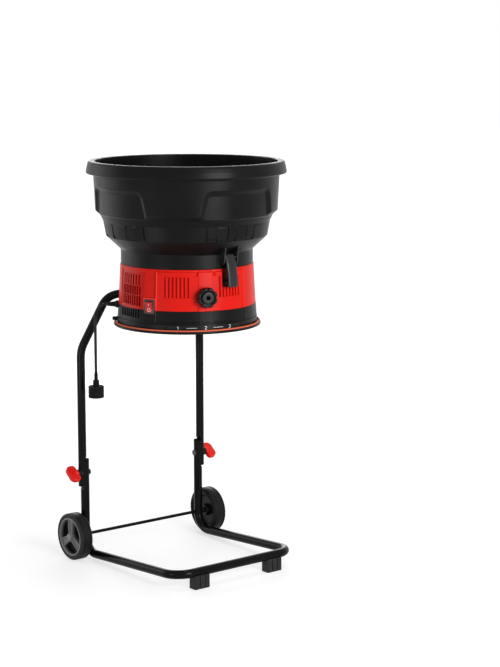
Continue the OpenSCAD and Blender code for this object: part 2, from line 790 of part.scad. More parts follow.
module red_shell() {
    color([0.8, 0.06, 0.04]) difference() {
        union() {
            rotate_extrude() polygon([
                [shell_low_r - shell_wall, ledge_z], [shell_low_r, ledge_z], [shell_top_r, seam_z],
                [tube_r + pass_gap, seam_z], [tube_r + pass_gap, seam_z - lip_t],
                [shell_r_at(seam_z - lip_t) - shell_wall, seam_z - lip_t]
            ]);
            sector(panel_from_angle, panel_to_angle) shell_skin(panel_raise);
            sector(knob_angle - strip_half_angle(), knob_angle + strip_half_angle()) shell_skin(strip_raise);
            intersection() {
                switch_pad(ledge_z + seat_gap, switch_z + pad_h / 2);
                rotate_extrude() polygon([
                    [shell_low_r - shell_wall / 2, ledge_z], [rim_r, ledge_z], [rim_r, seam_z],
                    [shell_top_r - shell_wall / 2, seam_z]
                ]);
            }
            for (a = shell_screw_angles) around(a) translate([0, -screw_ring_r, ledge_z]) {
                cylinder(r = shell_boss_r, h = shell_boss_h);
                translate([-shell_boss_r / 2, -boss_web_l, 0]) cube([shell_boss_r, boss_web_l, shell_boss_h]);
            }
        }
        switch_opening();
        outwards(gland_angle, tube_r, gland_z) cylinder(r = gland_boss_r + pass_gap, h = rim_r - tube_r);
        both_sides() outwards(arm_angle, tube_r, arm_z) cylinder(r = arm_r + pass_gap, h = rim_r - tube_r);
        for (a = shell_screw_angles) around(a) translate([0, -screw_ring_r, ledge_z - over])
            cylinder(r = shell_screw_r, h = shell_boss_h - shell_wall + over);
        for (group = slot_group_angles, a = row_angles(group, slot_count, slot_pitch_angle))
            shell_slot(a, slot_w, slot_z, slot_h);
        for (i = [0:len(side_row_counts) - 1],
                a = row_angles(side_vent_angle, side_row_counts[i], side_row_pitch_angles[i]))
            shell_slot(a, side_slot_w, seam_z - shell_h * (side_row_drop_shares[i] + side_row_h_shares[i]),
                shell_h * side_row_h_shares[i]);
        for (a = latch_angles) around(a) translate([-recess_w / 2, -rim_r, seam_z - recess_h])
            cube([recess_w, rim_r - chamber_r, recess_h + over]);
        outwards(knob_angle, tube_r, knob_z) cylinder(r = stud_r + seat_gap, h = rim_r - tube_r);
    }
}

module housing_screws() {
    color([0.6, 0.6, 0.62]) for (a = shell_screw_angles)
        around(a) translate([0, -screw_ring_r, ledge_z - ledge_t]) {
            translate([0, 0, -shell_screw_head_h])
                cylinder(r = shell_screw_head_r - pass_gap, h = shell_screw_head_h);
            cylinder(r = shell_screw_r, h = ledge_t + shell_boss_h - shell_wall - pass_gap);
        }
}

module chamber_liner() {
    color([0.55, 0.55, 0.57])
        ring(chamber_r - seat_gap - liner_t, chamber_r - seat_gap, liner_z, seam_z);
}

// Clamp knob, its stud and the bar that it pulls tight
knob_lift = 32.5;
knob_z = ledge_z + knob_lift;
bar_w = 18;
bar_t = 3;
stud_head_t = 2.6;
stud_head_w = 15;
bar_in_r = tube_r + pass_gap + stud_head_t + seat_gap;
bar_out_r = bar_in_r + bar_t;
bar_rise = 14;
knob_face_r = shell_r_at(knob_z - knob_r) + strip_raise + pass_gap;
knob_hub_share = 0.62;
knob_cap_depth = 3;
lobe_r_share = 0.21;

module clamp_stud() {
    color([0.65, 0.65, 0.67]) around(knob_angle) {
        translate([-stud_head_w / 2, -tube_r - pass_gap - stud_head_t, knob_z - stud_head_w / 2])
            cube([stud_head_w, stud_head_t, stud_head_w]);
        translate([0, -tube_r - pass_gap, knob_z]) rotate([90, 0, 0])
            cylinder(r = stud_r, h = knob_face_r + knob_h - knob_cap_depth * 2 - tube_r - pass_gap);
    }
}

module lock_bar() {
    color([0.5, 0.5, 0.52]) around(knob_angle) difference() {
        translate([-bar_w / 2, -bar_out_r, tongue_top_z + pass_gap])
            cube([bar_w, bar_t, knob_z + bar_rise - tongue_top_z - pass_gap]);
        translate([0, -tube_r, knob_z]) rotate([90, 0, 0])
            cylinder(r = stud_r + seat_gap, h = rim_r - tube_r);
    }
}

module clamp_knob() {
    lobe_r = knob_r * lobe_r_share;
    color([0.07, 0.07, 0.075]) outwards(knob_angle, knob_face_r, knob_z) difference() {
        union() {
            cylinder(r = knob_r * knob_hub_share, h = knob_h);
            linear_extrude(knob_h - knob_cap_depth) {
                circle(knob_r - lobe_r);
                for (i = [0:knob_lobes - 1]) rotate((i + 1 / 2) * 360 / knob_lobes)
                    translate([knob_r - lobe_r, 0]) circle(lobe_r);
            }
        }
        translate([0, 0, -over]) cylinder(r = stud_r + run_fit, h = knob_h + 2 * over);
    }
}

// Rocker switch
bezel_frame = 4;
rocker_w = bezel_w - 2 * bezel_frame;
rocker_h = bezel_h - 2 * bezel_frame;
rocker_pin_r = 1.5;
rocker_pin_depth = 4;
rocker_tilt = 10;
rocker_proud = 3.4;
switch_inner_r = tube_r + pass_gap;
switch_wall = 1.2;

module switch_frame() {
    around(switch_angle) translate([0, -pad_face_r, switch_z]) rotate([90, 0, 0]) children();
}

module switch_body() {
    body_depth = pad_face_r - switch_inner_r - pass_gap;
    color([0.1, 0.1, 0.1]) switch_frame() difference() {
        union() {
            translate([-bezel_w / 2, -bezel_h / 2, 0]) cube([bezel_w, bezel_h, bezel_t]);
            translate([-switch_hole_w / 2 + seat_gap, -switch_hole_h / 2 + seat_gap, -body_depth])
                cube([switch_hole_w - 2 * seat_gap, switch_hole_h - 2 * seat_gap, body_depth]);
        }
        translate([-rocker_w / 2 - pass_gap, -rocker_h / 2 - pass_gap, -rocker_sink()])
            cube([rocker_w + 2 * pass_gap, rocker_h + 2 * pass_gap, rocker_sink() + bezel_t + over]);
        translate([-rocker_w / 2 - switch_wall - pass_gap, 0, -rocker_pin_depth + bezel_t]) rotate([0, 90, 0])
            cylinder(r = rocker_pin_r + run_fit, h = rocker_w + 2 * (switch_wall + pass_gap));
    }
}

// Depth of the switch's well, which lets the rocker tip both ways
function rocker_sink() =
    rocker_h / 2 * sin(2 * rocker_tilt) + rocker_pin_depth - bezel_t + rocker_pin_r + over;

module switch_rocker() {
    color([0.8, 0.05, 0.04]) switch_frame() translate([0, 0, bezel_t - rocker_pin_depth]) {
        rotate([rocker_tilt, 0, 0]) intersection() {
            translate([-rocker_w / 2, -rocker_h / 2, -rocker_pin_r * 2])
                cube([rocker_w, rocker_h, rocker_pin_depth + rocker_proud + rocker_pin_r * 2]);
            rotate([0, 90, 0]) cylinder(r = rocker_h / 2, h = rocker_w, center = true);
            translate([-rocker_w / 2, 0, rocker_crown_r() + rocker_pin_depth]) rotate([0, 90, 0])
                ring(0, rocker_crown_r() * 2, 0, rocker_w);
        }
        rotate([0, 90, 0]) cylinder(r = rocker_pin_r, h = rocker_w + 2 * switch_wall, center = true);
    }
}

function rocker_crown_r() = rocker_h * 2;

// Cord gland, lead and plug
gland_hole_r = 5;
gland_wall = 2.2;
gland_nose_l = 20;
gland_nose_wall = 1.2;
gland_nose_r = lead_r + gland_nose_wall;
gland_face_r = band_low_r + gland_boss_l;
gland_flange_t = 2;
gland_end_r = gland_face_r + gland_flange_t + gland_nose_l;
lead_sides = 12;
lead_points = [
    [-153.6, 107.5, 629], [-158, 110.6, 628.6], [-162, 113.4, 627.3], [-166, 116.2, 624.8], [-170, 119, 621],
    [-173.4, 121.4, 616], [-175.8, 123.1, 610], [-177, 124, 603], [-177.4, 124.2, 592],
    [-177.4, 124.2, 576], [-177.4, 124.2, 558], [-177.4, 124.2, 540], [-177.4, 124.2, 522],
    [-177.4, 124.2, 504], [-177.4, 124.2, 486], [-177.4, 124.2, 467]
];
plug_top = lead_points[len(lead_points) - 1];
plug_relief_l = 32;
plug_neck_wall = 1.4;
plug_neck_r = lead_r + plug_neck_wall;
plug_collar_r = 8;
plug_collar_l = 14;
plug_wall = 3;
plug_floor = 10;

module cord_gland() {
    color([0.07, 0.07, 0.07]) outwards(gland_angle, channel_r, gland_z) difference() {
        union() {
            cylinder(r = gland_hole_r - seat_gap, h = gland_face_r - channel_r);
            translate([0, 0, gland_face_r - channel_r])
                cylinder(r = gland_boss_r - seat_gap, h = gland_flange_t);
            translate([0, 0, gland_face_r - channel_r + gland_flange_t])
                cylinder(r1 = gland_hole_r + gland_wall, r2 = gland_nose_r, h = gland_nose_l);
        }
        translate([0, 0, -over]) cylinder(r = lead_r - gland_wall / 2, h = gland_end_r - channel_r);
    }
}

// Lead: rings of points carried along the route without twist
function lead_dir(i) = unit(lead_points[min(i + 1, len(lead_points) - 1)] - lead_points[max(i - 1, 0)]);
function lead_ring(i) = let (
        across = [cos(gland_angle), sin(gland_angle), 0],
        over_it = cross(lead_dir(i), across)
    ) [for (k = [0:lead_sides - 1])
        lead_points[i] + lead_r * (cos(k * 360 / lead_sides) * across + sin(k * 360 / lead_sides) * over_it)];

module cord() {
    rings = len(lead_points);
    points = [for (i = [0:rings - 1]) each lead_ring(i)];
    sides = [for (i = [0:rings - 2], k = [0:lead_sides - 1])
        let (a = i * lead_sides + k, b = i * lead_sides + (k + 1) % lead_sides)
        each [[a, b, b + lead_sides], [a, b + lead_sides, a + lead_sides]]];
    first = [for (k = [0:lead_sides - 1]) lead_sides - 1 - k];
    last = [for (k = [0:lead_sides - 1]) (rings - 1) * lead_sides + k];
    color([0.06, 0.06, 0.06]) polyhedron(points, concat(sides, [first, last]));
}

module plug() {
    color([0.06, 0.06, 0.06]) translate(plug_top - [0, 0, plug_relief_l + plug_h]) rotate_extrude() polygon([
        [0, plug_floor_z()], [plug_r - plug_wall, plug_floor_z()], [plug_r - plug_wall, 0], [plug_r, 0],
        [plug_r, plug_h], [plug_collar_r, plug_h], [plug_collar_r, plug_h + plug_collar_l],
        [plug_neck_r, plug_h + plug_collar_l], [plug_neck_r, plug_h + plug_relief_l],
        [0, plug_h + plug_relief_l]
    ]);
}

function plug_floor_z() = plug_h - plug_floor;

blade_w = 6.4;
blade_t = 1.6;
blade_gap = 12.7;
blade_l = 16;
ground_r = 2.4;
ground_off = 9.5;

module plug_blades() {
    color([0.75, 0.68, 0.45]) translate(plug_top - [0, 0, plug_relief_l + plug_floor])
        rotate([0, 0, gland_angle]) {
            for (side = [-1, 1]) translate([side * blade_gap / 2 - blade_t / 2, -blade_w / 2, -blade_l])
                cube([blade_t, blade_w, blade_l]);
            translate([0, ground_off, -blade_l]) cylinder(r = ground_r, h = blade_l);
        }
}

// Wires from the gland round to the switch and in to the motor
wire_angle = mount_arm_angles[3] - 360;
wire_to_angle = switch_angle - asin((switch_hole_w / 2 + pass_gap) / wire_ring_r);

module wires() {
    color([0.1, 0.1, 0.1]) {
        sector(gland_angle, wire_to_angle) translate([wire_ring_r, wire_z]) circle(wire_r);
        outwards(wire_angle, motor_r + motor_wall + pass_gap, wire_z + pass_gap)
            cylinder(r = wire_r, h = tube_r + pass_gap - motor_r - motor_wall - pass_gap);
    }
}

// Hopper
hopper_in_r = tube_r + pass_gap;
foot_h = 6;
skirt_t = 3.5;
lever_hub_r = 7.5;
ear_gap = 0.2;
lever_side_gap = 3.5;
ear_in = lever_w / 2 + lever_side_gap;
ear_nose = 3.5;
ear_reach = latch_pin_reach + ear_nose;
ear_low_drop = 15;
pocket_lap_angle = 1;
pocket_root_share = 0.55;
pocket_root_z = wall_z - shelf_h * pocket_root_share;
pocket_span_angle = pocket_half_angle + pocket_lap_angle;
pocket_top_z = wall_z + pocket_h;
pocket_top_r = wall_low_r + wall_taper * pocket_h / wall_h;
groove_half = asin(groove_w / 2 / lower_wall_r);

module hopper() {
    color([0.1, 0.1, 0.105]) difference() {
        union() {
            difference() {
                rotate_extrude() polygon([
                    [hopper_in_r, seam_z], [neck_r, seam_z], [neck_r, cone_z], [lower_wall_r, lower_wall_z],
                    [cove_r, cove_z], [shelf_r, shelf_z], [wall_low_r, wall_z], [wall_top_r, rim_z],
                    [wall_top_r, rim_top_z - skirt_t], [rim_r - skirt_t, rim_top_z - skirt_t],
                    [rim_r - skirt_t, rim_z], [rim_r, rim_z], [rim_r, rim_top_z - rim_bevel],
                    [rim_r - rim_bevel, rim_top_z], [rim_r - rim_land, rim_top_z],
                    [wall_top_r - hopper_wall, rim_z], [wall_low_r - hopper_wall, wall_z],
                    [shelf_r - hopper_wall, shelf_z + hopper_wall / 2],
                    [cove_r - hopper_wall, cove_z + hopper_wall / 2],
                    [lower_wall_r - hopper_wall, lower_wall_z + hopper_wall / 2],
                    [neck_r - hopper_wall, cone_z + hopper_wall / 2], [neck_r - hopper_wall, seam_z + foot_h],
                    [hopper_in_r, seam_z + foot_h]
                ]);
                for (a = quarter_angles) sector(a - pocket_half_angle, a + pocket_half_angle) polygon([
                    [wall_low_r - pocket_depth, wall_z - over], [rim_r, wall_z - over],
                    [rim_r, pocket_top_z], [pocket_top_r - pocket_depth, pocket_top_z]
                ]);
                for (a = quarter_angles, g = groove_angles)
                    sector(a + g - groove_half, a + g + groove_half) polygon([
                        [lower_wall_r - groove_depth, lower_wall_z], [rim_r, lower_wall_z],
                        [rim_r, cove_z], [cove_r - groove_depth, cove_z]
                    ]);
            }
            for (a = quarter_angles) sector(a - pocket_span_angle, a + pocket_span_angle) polygon([
                [wall_low_r - pocket_depth - hopper_wall, pocket_root_z],
                [wall_low_r - pocket_depth, pocket_root_z],
                [pocket_top_r - pocket_depth, pocket_top_z], [pocket_top_r - hopper_wall / 2, pocket_top_z],
                [pocket_top_r - hopper_wall / 2, pocket_top_z + hopper_wall],
                [pocket_top_r - pocket_depth - hopper_wall, pocket_top_z + hopper_wall]
            ]);
            for (a = latch_angles, side = [-1, 1]) around(a)
                translate([side * (ear_in + ear_t / 2), -neck_r - ear_reach, lever_pin_z - ear_low_drop])
                    translate([-ear_t / 2, 0, 0]) cube([ear_t, ear_reach + hopper_wall, ear_h]);
        }
        for (a = latch_angles) around(a)
            along_x(-ear_in - ear_t - over, -lever_pin_y, lever_pin_z)
                cylinder(r = latch_pin_r, h = 2 * (ear_in + ear_t + over));
    }
}

module latch_pins() {
    color([0.65, 0.65, 0.67]) for (a = latch_angles) around(a)
        along_x(-ear_in - ear_t, -lever_pin_y, lever_pin_z)
            cylinder(r = latch_pin_r, h = 2 * (ear_in + ear_t));
}

// Latch levers
hook_h = 5;
hook_tip_gap = 4.5;
hook_tip_r = tube_r + hook_tip_gap;
lever_clear = 2.5;
lever_flare = 7;

module latch() {
    plate_out = lever_pin_y + lever_hub_r + lever_flare;
    color([0.08, 0.08, 0.085]) difference() {
        union() {
            translate([-lever_w / 2, 0, 0]) rotate([90, 0, 90]) linear_extrude(lever_w) {
                intersection() {
                    translate([-plate_out + lever_curve_r, lever_pin_z - lever_l])
                        difference() {
                            circle(lever_curve_r, $fn = 192);
                            circle(lever_curve_r - lever_t, $fn = 192);
                        }
                    translate([-plate_out - lever_t, lever_pin_z - lever_l])
                        square([plate_out, lever_l]);
                }
                translate([-plate_out + lever_clear, hook_z - hook_h])
                    square([plate_out - hook_tip_r - lever_clear, hook_h]);
            }
            along_x(-ear_in + ear_gap, -lever_pin_y, lever_pin_z)
                cylinder(r = lever_hub_r, h = 2 * (ear_in - ear_gap));
        }
        along_x(-ear_in, -lever_pin_y, lever_pin_z) cylinder(r = latch_pin_r + run_fit, h = 2 * ear_in);
    }
}

module front_latch() { latch(); }
module rear_latch() { around(180) latch(); }

// Size ring
ring_step = 0.5;
ring_r = band_low_r + ring_step;
ring_wall = 3.5;
tongue_gap = 3;
tongue_in_r = tube_r + tongue_gap;
tongue_t = 3;
tongue_out_r = tongue_in_r + tongue_t;
tongue_rise = 18;
tongue_top_z = housing_z + tongue_rise;
bead_reach = 2;
bead_h = 4;
clip_h = 5.5;
clip_half_angle = 7;
flange_r = ring_r + flange_reach;
seal_inset = 3.7;
seal_ring_r = flange_r - seal_inset;
seal_sink = 0.8;
tab_w = 12;
tab_reach = 11;
tab_h = 9;
tab_lift = 3;
ring_floor_t = 3;
grate_t = 3;
grate_rim_w = 8;
grate_gap = 10;
grate_in_r = motor_r + grate_gap;
grate_hub_w = 5;

module size_ring() {
    color([0.08, 0.08, 0.085]) difference() {
        union() {
            rotate_extrude() polygon([
                [tongue_in_r, flange_low_z], [flange_r, flange_low_z],
                [flange_r, flange_z], [ring_r, flange_z],
                [ring_r, ring_top_z], [ring_r - ring_wall, ring_top_z], [ring_r - ring_wall, flange_z],
                [tongue_out_r, flange_z], [tongue_out_r, tongue_top_z - bead_h],
                [tongue_out_r + bead_reach, tongue_top_z - bead_h], [tongue_out_r + bead_reach, tongue_top_z],
                [tongue_in_r, tongue_top_z], [tongue_in_r, flange_low_z + ring_floor_t + grate_t],
                [tongue_in_r - grate_rim_w, flange_low_z + ring_floor_t + grate_t],
                [tongue_in_r - grate_rim_w, flange_low_z + ring_floor_t],
                [tongue_in_r, flange_low_z + ring_floor_t]
            ]);
            around(gland_angle) translate([-tab_w / 2, -ring_r - tab_reach, flange_z + tab_lift])
                cube([tab_w, tab_reach + ring_wall / 2, tab_h]);
        }
        translate([0, 0, flange_z - seal_sink + seal_r]) rotate_extrude() translate([seal_ring_r, 0])
            circle(seal_r + pass_gap);
    }
}

module edge_seal() {
    color([0.9, 0.35, 0.2]) translate([0, 0, flange_z - seal_sink + seal_r]) rotate_extrude()
        translate([seal_ring_r, 0]) circle(seal_r);
}

module shutter_grate() {
    z_low = flange_low_z;
    color([0.25, 0.25, 0.26]) {
        ring(tongue_in_r - grate_rim_w, tongue_in_r - seat_gap, z_low, z_low + grate_t);
        ring(grate_in_r, grate_in_r + grate_hub_w, z_low, z_low + grate_t);
        for (i = [0:shutter_count - 1]) rotate([0, 0, i * 360 / shutter_count])
            translate([grate_in_r + grate_hub_w / 2, -shutter_w / 2, z_low])
                cube([tongue_in_r - grate_rim_w - grate_in_r, shutter_w, grate_t]);
    }
}

label_t = 0.4;
label_h = 10;
label_half_angle = 31;

module scale_label() {
    color([0.85, 0.85, 0.85]) sector(knob_angle - label_half_angle, knob_angle + label_half_angle)
        translate([ring_r + seat_gap, flange_z + (ring_band_h - label_h) / 2]) square([label_t, label_h]);
}

module ring_clips() {
    color([0.15, 0.15, 0.15]) for (a = clip_angles) sector(a - clip_half_angle, a + clip_half_angle)
        translate([tongue_out_r + pass_gap, tongue_top_z - bead_h - pass_gap - clip_h])
            square([channel_r - tongue_out_r - pass_gap, clip_h]);
}

// Motor and cutter
motor_floor_z = flange_low_z + ring_floor_t + grate_t + over;
cup_floor_t = 4;
cup_top_z = motor_floor_z + motor_h;
lower_bearing_z = motor_floor_z + cup_floor_t;
seat_wall = 3;
cover_t = 4;
cover_h = 14;
upper_bearing_z = cup_top_z + cover_h - cover_t - bearing_w;
stator_in_r = 30;
stator_lift = 4;
stator_drop = 12;
stator_low_z = lower_bearing_z + bearing_w + stator_lift;
stator_top_z = cup_top_z - stator_drop;
armature_gap = 1.5;
fan_h = 6;
fan_blades = 9;
fan_blade_t = 1.6;
fan_inset = 8;
fan_r = motor_r - fan_inset;
disc_gap = 16;
disc_z = cup_top_z + cover_h + disc_gap;
disc_t = 4;
disc_hub_share = 1 / 3;
disc_hub_r = disc_r * disc_hub_share;
line_sweep_r = chamber_r - seat_gap - liner_t - line_gap;
nut_r = 9;
nut_h = 7;
line_count = 4;
shaft_top_z = disc_z + disc_h + nut_h;
shaft_collar_t = 3;
shaft_collar_r = shaft_r + shaft_collar_t;

module motor_mount() {
    color([0.12, 0.12, 0.125]) difference() {
        union() {
            translate([0, 0, motor_floor_z]) cylinder(r = motor_r + motor_wall, h = motor_h);
            intersection() {
                for (a = mount_arm_angles) around(a)
                    translate([-mount_arm_w / 2, -tube_r, ledge_z - mount_arm_h])
                        cube([mount_arm_w, tube_r - motor_r, mount_arm_h]);
                translate([0, 0, housing_z]) cylinder(r = chamber_r - seat_gap, h = seam_z - housing_z);
            }
        }
        difference() {
            translate([0, 0, motor_floor_z + cup_floor_t]) cylinder(r = motor_r, h = motor_h);
            ring(bearing_r, bearing_r + seat_wall, motor_floor_z, lower_bearing_z + bearing_w);
        }
        translate([0, 0, motor_floor_z - over])
            cylinder(r = bearing_r - seat_wall, h = cup_floor_t + 2 * over);
        for (a = mount_arm_angles) outwards(a, chamber_r - mount_screw_l, mount_screw_z)
            cylinder(r = mount_screw_r, h = mount_screw_l + over);
    }
}

module mount_screws() {
    color([0.6, 0.6, 0.62]) for (a = mount_arm_angles) {
        outwards(a, chamber_r - mount_screw_l + pass_gap, mount_screw_z)
            cylinder(r = mount_screw_r, h = mount_screw_l + tube_wall - pass_gap);
        outwards(a, tube_r, mount_screw_z) cylinder(r = mount_screw_head_r, h = mount_screw_head_t);
    }
}

module motor_cover() {
    color([0.12, 0.12, 0.125]) difference() {
        translate([0, 0, cup_top_z]) cylinder(r = motor_r + motor_wall, h = cover_h);
        difference() {
            translate([0, 0, cup_top_z - over]) cylinder(r = motor_r, h = cover_h - cover_t + over);
            ring(bearing_r, bearing_r + seat_wall, upper_bearing_z, cup_top_z + cover_h);
        }
        translate([0, 0, cup_top_z]) cylinder(r = bearing_r - seat_wall, h = cover_h + over);
    }
}

module motor_stator() {
    color([0.45, 0.45, 0.47]) ring(stator_in_r, motor_r - seat_gap, stator_low_z, stator_top_z);
}

module bearing(z) {
    color([0.7, 0.7, 0.72]) ring(shaft_r + run_fit, bearing_r, z, z + bearing_w);
}

module upper_bearing() { bearing(upper_bearing_z); }
module lower_bearing() { bearing(lower_bearing_z); }

module motor_shaft() {
    color([0.7, 0.7, 0.72]) {
        translate([0, 0, lower_bearing_z]) cylinder(r = shaft_r, h = shaft_top_z - lower_bearing_z);
        ring(shaft_r - over, shaft_collar_r, disc_z - disc_gap / 2, disc_z);
    }
}

module armature() {
    color([0.6, 0.35, 0.2]) ring(shaft_r, stator_in_r - armature_gap, stator_low_z, stator_top_z);
}

module cooling_fan() {
    fan_z = stator_top_z + armature_gap;
    color([0.15, 0.15, 0.15]) {
        ring(shaft_r, shaft_collar_r, fan_z, fan_z + fan_h);
        ring(shaft_r, fan_r, fan_z, fan_z + fan_blade_t);
        for (i = [0:fan_blades - 1]) rotate([0, 0, i * 360 / fan_blades])
            translate([shaft_collar_r - over, -fan_blade_t / 2, fan_z])
                cube([fan_r - shaft_collar_r, fan_blade_t, fan_h]);
    }
}

module cutter_disc() {
    color([0.15, 0.15, 0.155]) difference() {
        union() {
            translate([0, 0, disc_z]) cylinder(r = disc_r, h = disc_t);
            translate([0, 0, disc_z]) cylinder(r = disc_hub_r, h = disc_h);
            ring(disc_r - disc_t, disc_r, disc_z, disc_z + disc_h);
        }
        translate([0, 0, disc_z - over]) cylinder(r = shaft_r, h = disc_h + 2 * over);
        for (i = [0:line_count - 1]) line_place(i) cylinder(r = line_r, h = line_sweep_r);
    }
}

module line_place(i) {
    rotate([0, 0, i * 360 / line_count]) along_x(disc_hub_r, 0, disc_z + disc_h / 2 + line_r) children();
}

module cutting_lines() {
    color([0.9, 0.3, 0.05]) for (i = [0:line_count - 1])
        line_place(i) cylinder(r = line_r, h = line_sweep_r - disc_hub_r);
}

module disc_nut() {
    color([0.65, 0.65, 0.67]) difference() {
        translate([0, 0, disc_z + disc_h]) cylinder(r = nut_r, h = nut_h, $fn = 6);
        translate([0, 0, disc_z + disc_h - over]) cylinder(r = shaft_r, h = nut_h + 2 * over);
    }
}

base_loop();
front_feet();
feet_screws();
axle();
axle_caps();
wheel_spacers();
post_caps();
fold_bolts();
left_arm();
right_arm();
arm_end_plugs();
arm_foot_caps();
arm_bolts();
saddle_washers();
lower_housing();
red_shell();
housing_screws();
ring_clips();
chamber_liner();
motor_mount();
mount_screws();
motor_cover();
motor_stator();
upper_bearing();
lower_bearing();
switch_body();
wires();
cord_gland();
cord();
plug();
plug_blades();
hopper();
latch_pins();
clamp_stud();
lock_bar();
front_latch();
rear_latch();
clamp_knob();
switch_rocker();
size_ring();
edge_seal();
shutter_grate();
scale_label();
motor_shaft();
armature();
cooling_fan();
cutter_disc();
cutting_lines();
disc_nut();
left_tyre();
left_wheel();
right_tyre();
right_wheel();
left_wing_knob();
right_wing_knob();
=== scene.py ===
import json
import math

import bmesh
import bpy
import numpy as np
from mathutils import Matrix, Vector


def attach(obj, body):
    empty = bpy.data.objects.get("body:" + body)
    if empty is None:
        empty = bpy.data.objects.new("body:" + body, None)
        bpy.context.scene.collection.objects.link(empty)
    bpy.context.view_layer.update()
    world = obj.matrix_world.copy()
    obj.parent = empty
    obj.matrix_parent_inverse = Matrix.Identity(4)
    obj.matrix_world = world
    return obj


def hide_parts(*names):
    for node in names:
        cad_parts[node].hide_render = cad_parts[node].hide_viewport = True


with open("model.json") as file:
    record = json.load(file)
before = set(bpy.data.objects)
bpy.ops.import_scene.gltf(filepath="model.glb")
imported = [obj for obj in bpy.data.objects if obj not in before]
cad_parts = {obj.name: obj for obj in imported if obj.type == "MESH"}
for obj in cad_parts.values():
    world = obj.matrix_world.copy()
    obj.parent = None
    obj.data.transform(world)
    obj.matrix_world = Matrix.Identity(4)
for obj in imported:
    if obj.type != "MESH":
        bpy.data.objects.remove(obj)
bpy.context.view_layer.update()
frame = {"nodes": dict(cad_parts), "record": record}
nodes = frame["nodes"]
print("frame loaded,", len(nodes), "nodes")

# the camera stands where the photograph was taken
view = {"place": (-2.5169, -3.3809, 1.2548), "aim": (0.11561, -0.09254, 0.5567), "lens": 97.49, "sensor": 36.0}
camera = bpy.data.objects.new("photo_camera", bpy.data.cameras.new("photo_camera"))
camera.data.lens = view["lens"]
camera.data.sensor_width = view["sensor"]
camera.location = view["place"]
camera.rotation_euler = (Vector(view["aim"]) - Vector(view["place"])).to_track_quat("-Z", "Y").to_euler()
bpy.context.scene.collection.objects.link(camera)
bpy.context.scene.camera = camera
bpy.context.scene.view_settings.view_transform = "Standard"


class Wire:
    # a node socket that does arithmetic: each operator adds one Math node
    def __init__(self, tree, socket):
        self.tree, self.socket = tree, socket

    def node(self, kind, settings, sockets, out=0):
        # any node: its settings first, then a value or a link for each socket
        made = self.tree.nodes.new(kind)
        for name, value in settings.items():
            setattr(made, name, value)
        for name, value in sockets.items():
            if isinstance(value, Wire):
                self.tree.links.new(value.socket, made.inputs[name])
            else:
                made.inputs[name].default_value = value
        return Wire(self.tree, made.outputs[out])

    def math(self, operation, a, b):
        return self.node("ShaderNodeMath", {"operation": operation}, {0: a, 1: b})

    def __add__(self, other):
        return self.math("ADD", self, other)

    def __mul__(self, other):
        return self.math("MULTIPLY", self, other)

    def __sub__(self, other):
        return self.math("SUBTRACT", self, other)

    def noise(self, scale, detail=3.0, rough=0.55):
        return self.node("ShaderNodeTexNoise", {}, {"Vector": self, "Scale": scale, "Detail": detail,
                                                    "Roughness": rough})

    def remap(self, low=0.3, high=0.7):
        # a smooth step from 0 at low to 1 at high
        return self.node("ShaderNodeMapRange", {"interpolation_type": "SMOOTHSTEP"}, {0: self, 1: low, 2: high})

    def blendColours(self, first, second):
        settings = {"data_type": "RGBA", "blend_type": "MIX"}
        return self.node("ShaderNodeMix", settings, {0: self, 6: first, 7: second}, 2)

    def bump(self, height, strength):
        return self.node("ShaderNodeBump", {}, {"Height": self, "Distance": height, "Strength": strength})


def grey(value, cool=0.0):
    return (value * (1 - cool), value, value * (1 + 1.5 * cool), 1.0)


def startMaterial(name):
    # an empty material with its shader; returns both and the object coordinates
    material = bpy.data.materials.new(name)
    material.use_nodes = True
    tree = material.node_tree
    tree.nodes.clear()
    shader = tree.nodes.new("ShaderNodeBsdfPrincipled")
    tree.links.new(shader.outputs[0], tree.nodes.new("ShaderNodeOutputMaterial").inputs[0])
    return material, shader, Wire(tree, tree.nodes.new("ShaderNodeTexCoord").outputs["Object"])


def feed(shader, **sockets):
    # links or sets the shader's sockets; an underscore stands for a space
    for name, value in sockets.items():
        target = shader.inputs[name.replace("_", " ")]
        if isinstance(value, Wire):
            value.tree.links.new(value.socket, target)
        else:
            target.default_value = value


# noise scales, the pointiness that counts as an edge for the edge colour (partly wear, partly painted highlight), and
# the shares of each noise
moulded = {"clouds": 14.0, "specks": 420.0, "edgePatchScale": 90.0, "broad": 60.0, "edge": (0.53, 0.62), "cloudGloss": 0.07,
           "speckGloss": 0.05, "broadShare": 0.35, "bump": 0.6, "coatRough": 0.12}


def mouldedFinish(name, colour, shade, rough, grain, grainScale=900.0, edgeWearAndHighlight=None, coat=0.0, gleam=0.22):
    # moulded surface: cloudy colour, uneven gloss and a fine grain; the edge colour lightens convex edges in patches,
    # partly as wear and partly as painted highlight
    material, shader, where = startMaterial(name)
    clouds = where.noise(moulded["clouds"]).remap()
    specks = where.noise(moulded["specks"], 2.0).remap(0.45, 0.75)
    tone = clouds.blendColours(colour, shade)
    # painted highlight and wear: convex edges, found by pointiness, turn to the lighter edge colour in noisy patches
    if edgeWearAndHighlight:
        edges = where.node("ShaderNodeNewGeometry", {}, {}, "Pointiness").remap(*moulded["edge"])
        tone = (edges * where.noise(moulded["edgePatchScale"]).remap()).blendColours(tone, edgeWearAndHighlight)
    gloss = clouds * moulded["cloudGloss"] + specks * moulded["speckGloss"] + (rough - 0.05)
    fine, broad = where.noise(grainScale, 2.0, 0.6), where.noise(moulded["broad"], 2.0)
    normal = (fine + broad * moulded["broadShare"]).bump(grain, moulded["bump"])
    feed(shader, Base_Color=tone, Roughness=gloss, Normal=normal, Coat_Weight=coat,
         Coat_Roughness=moulded["coatRough"], Specular_IOR_Level=gleam)
    return material


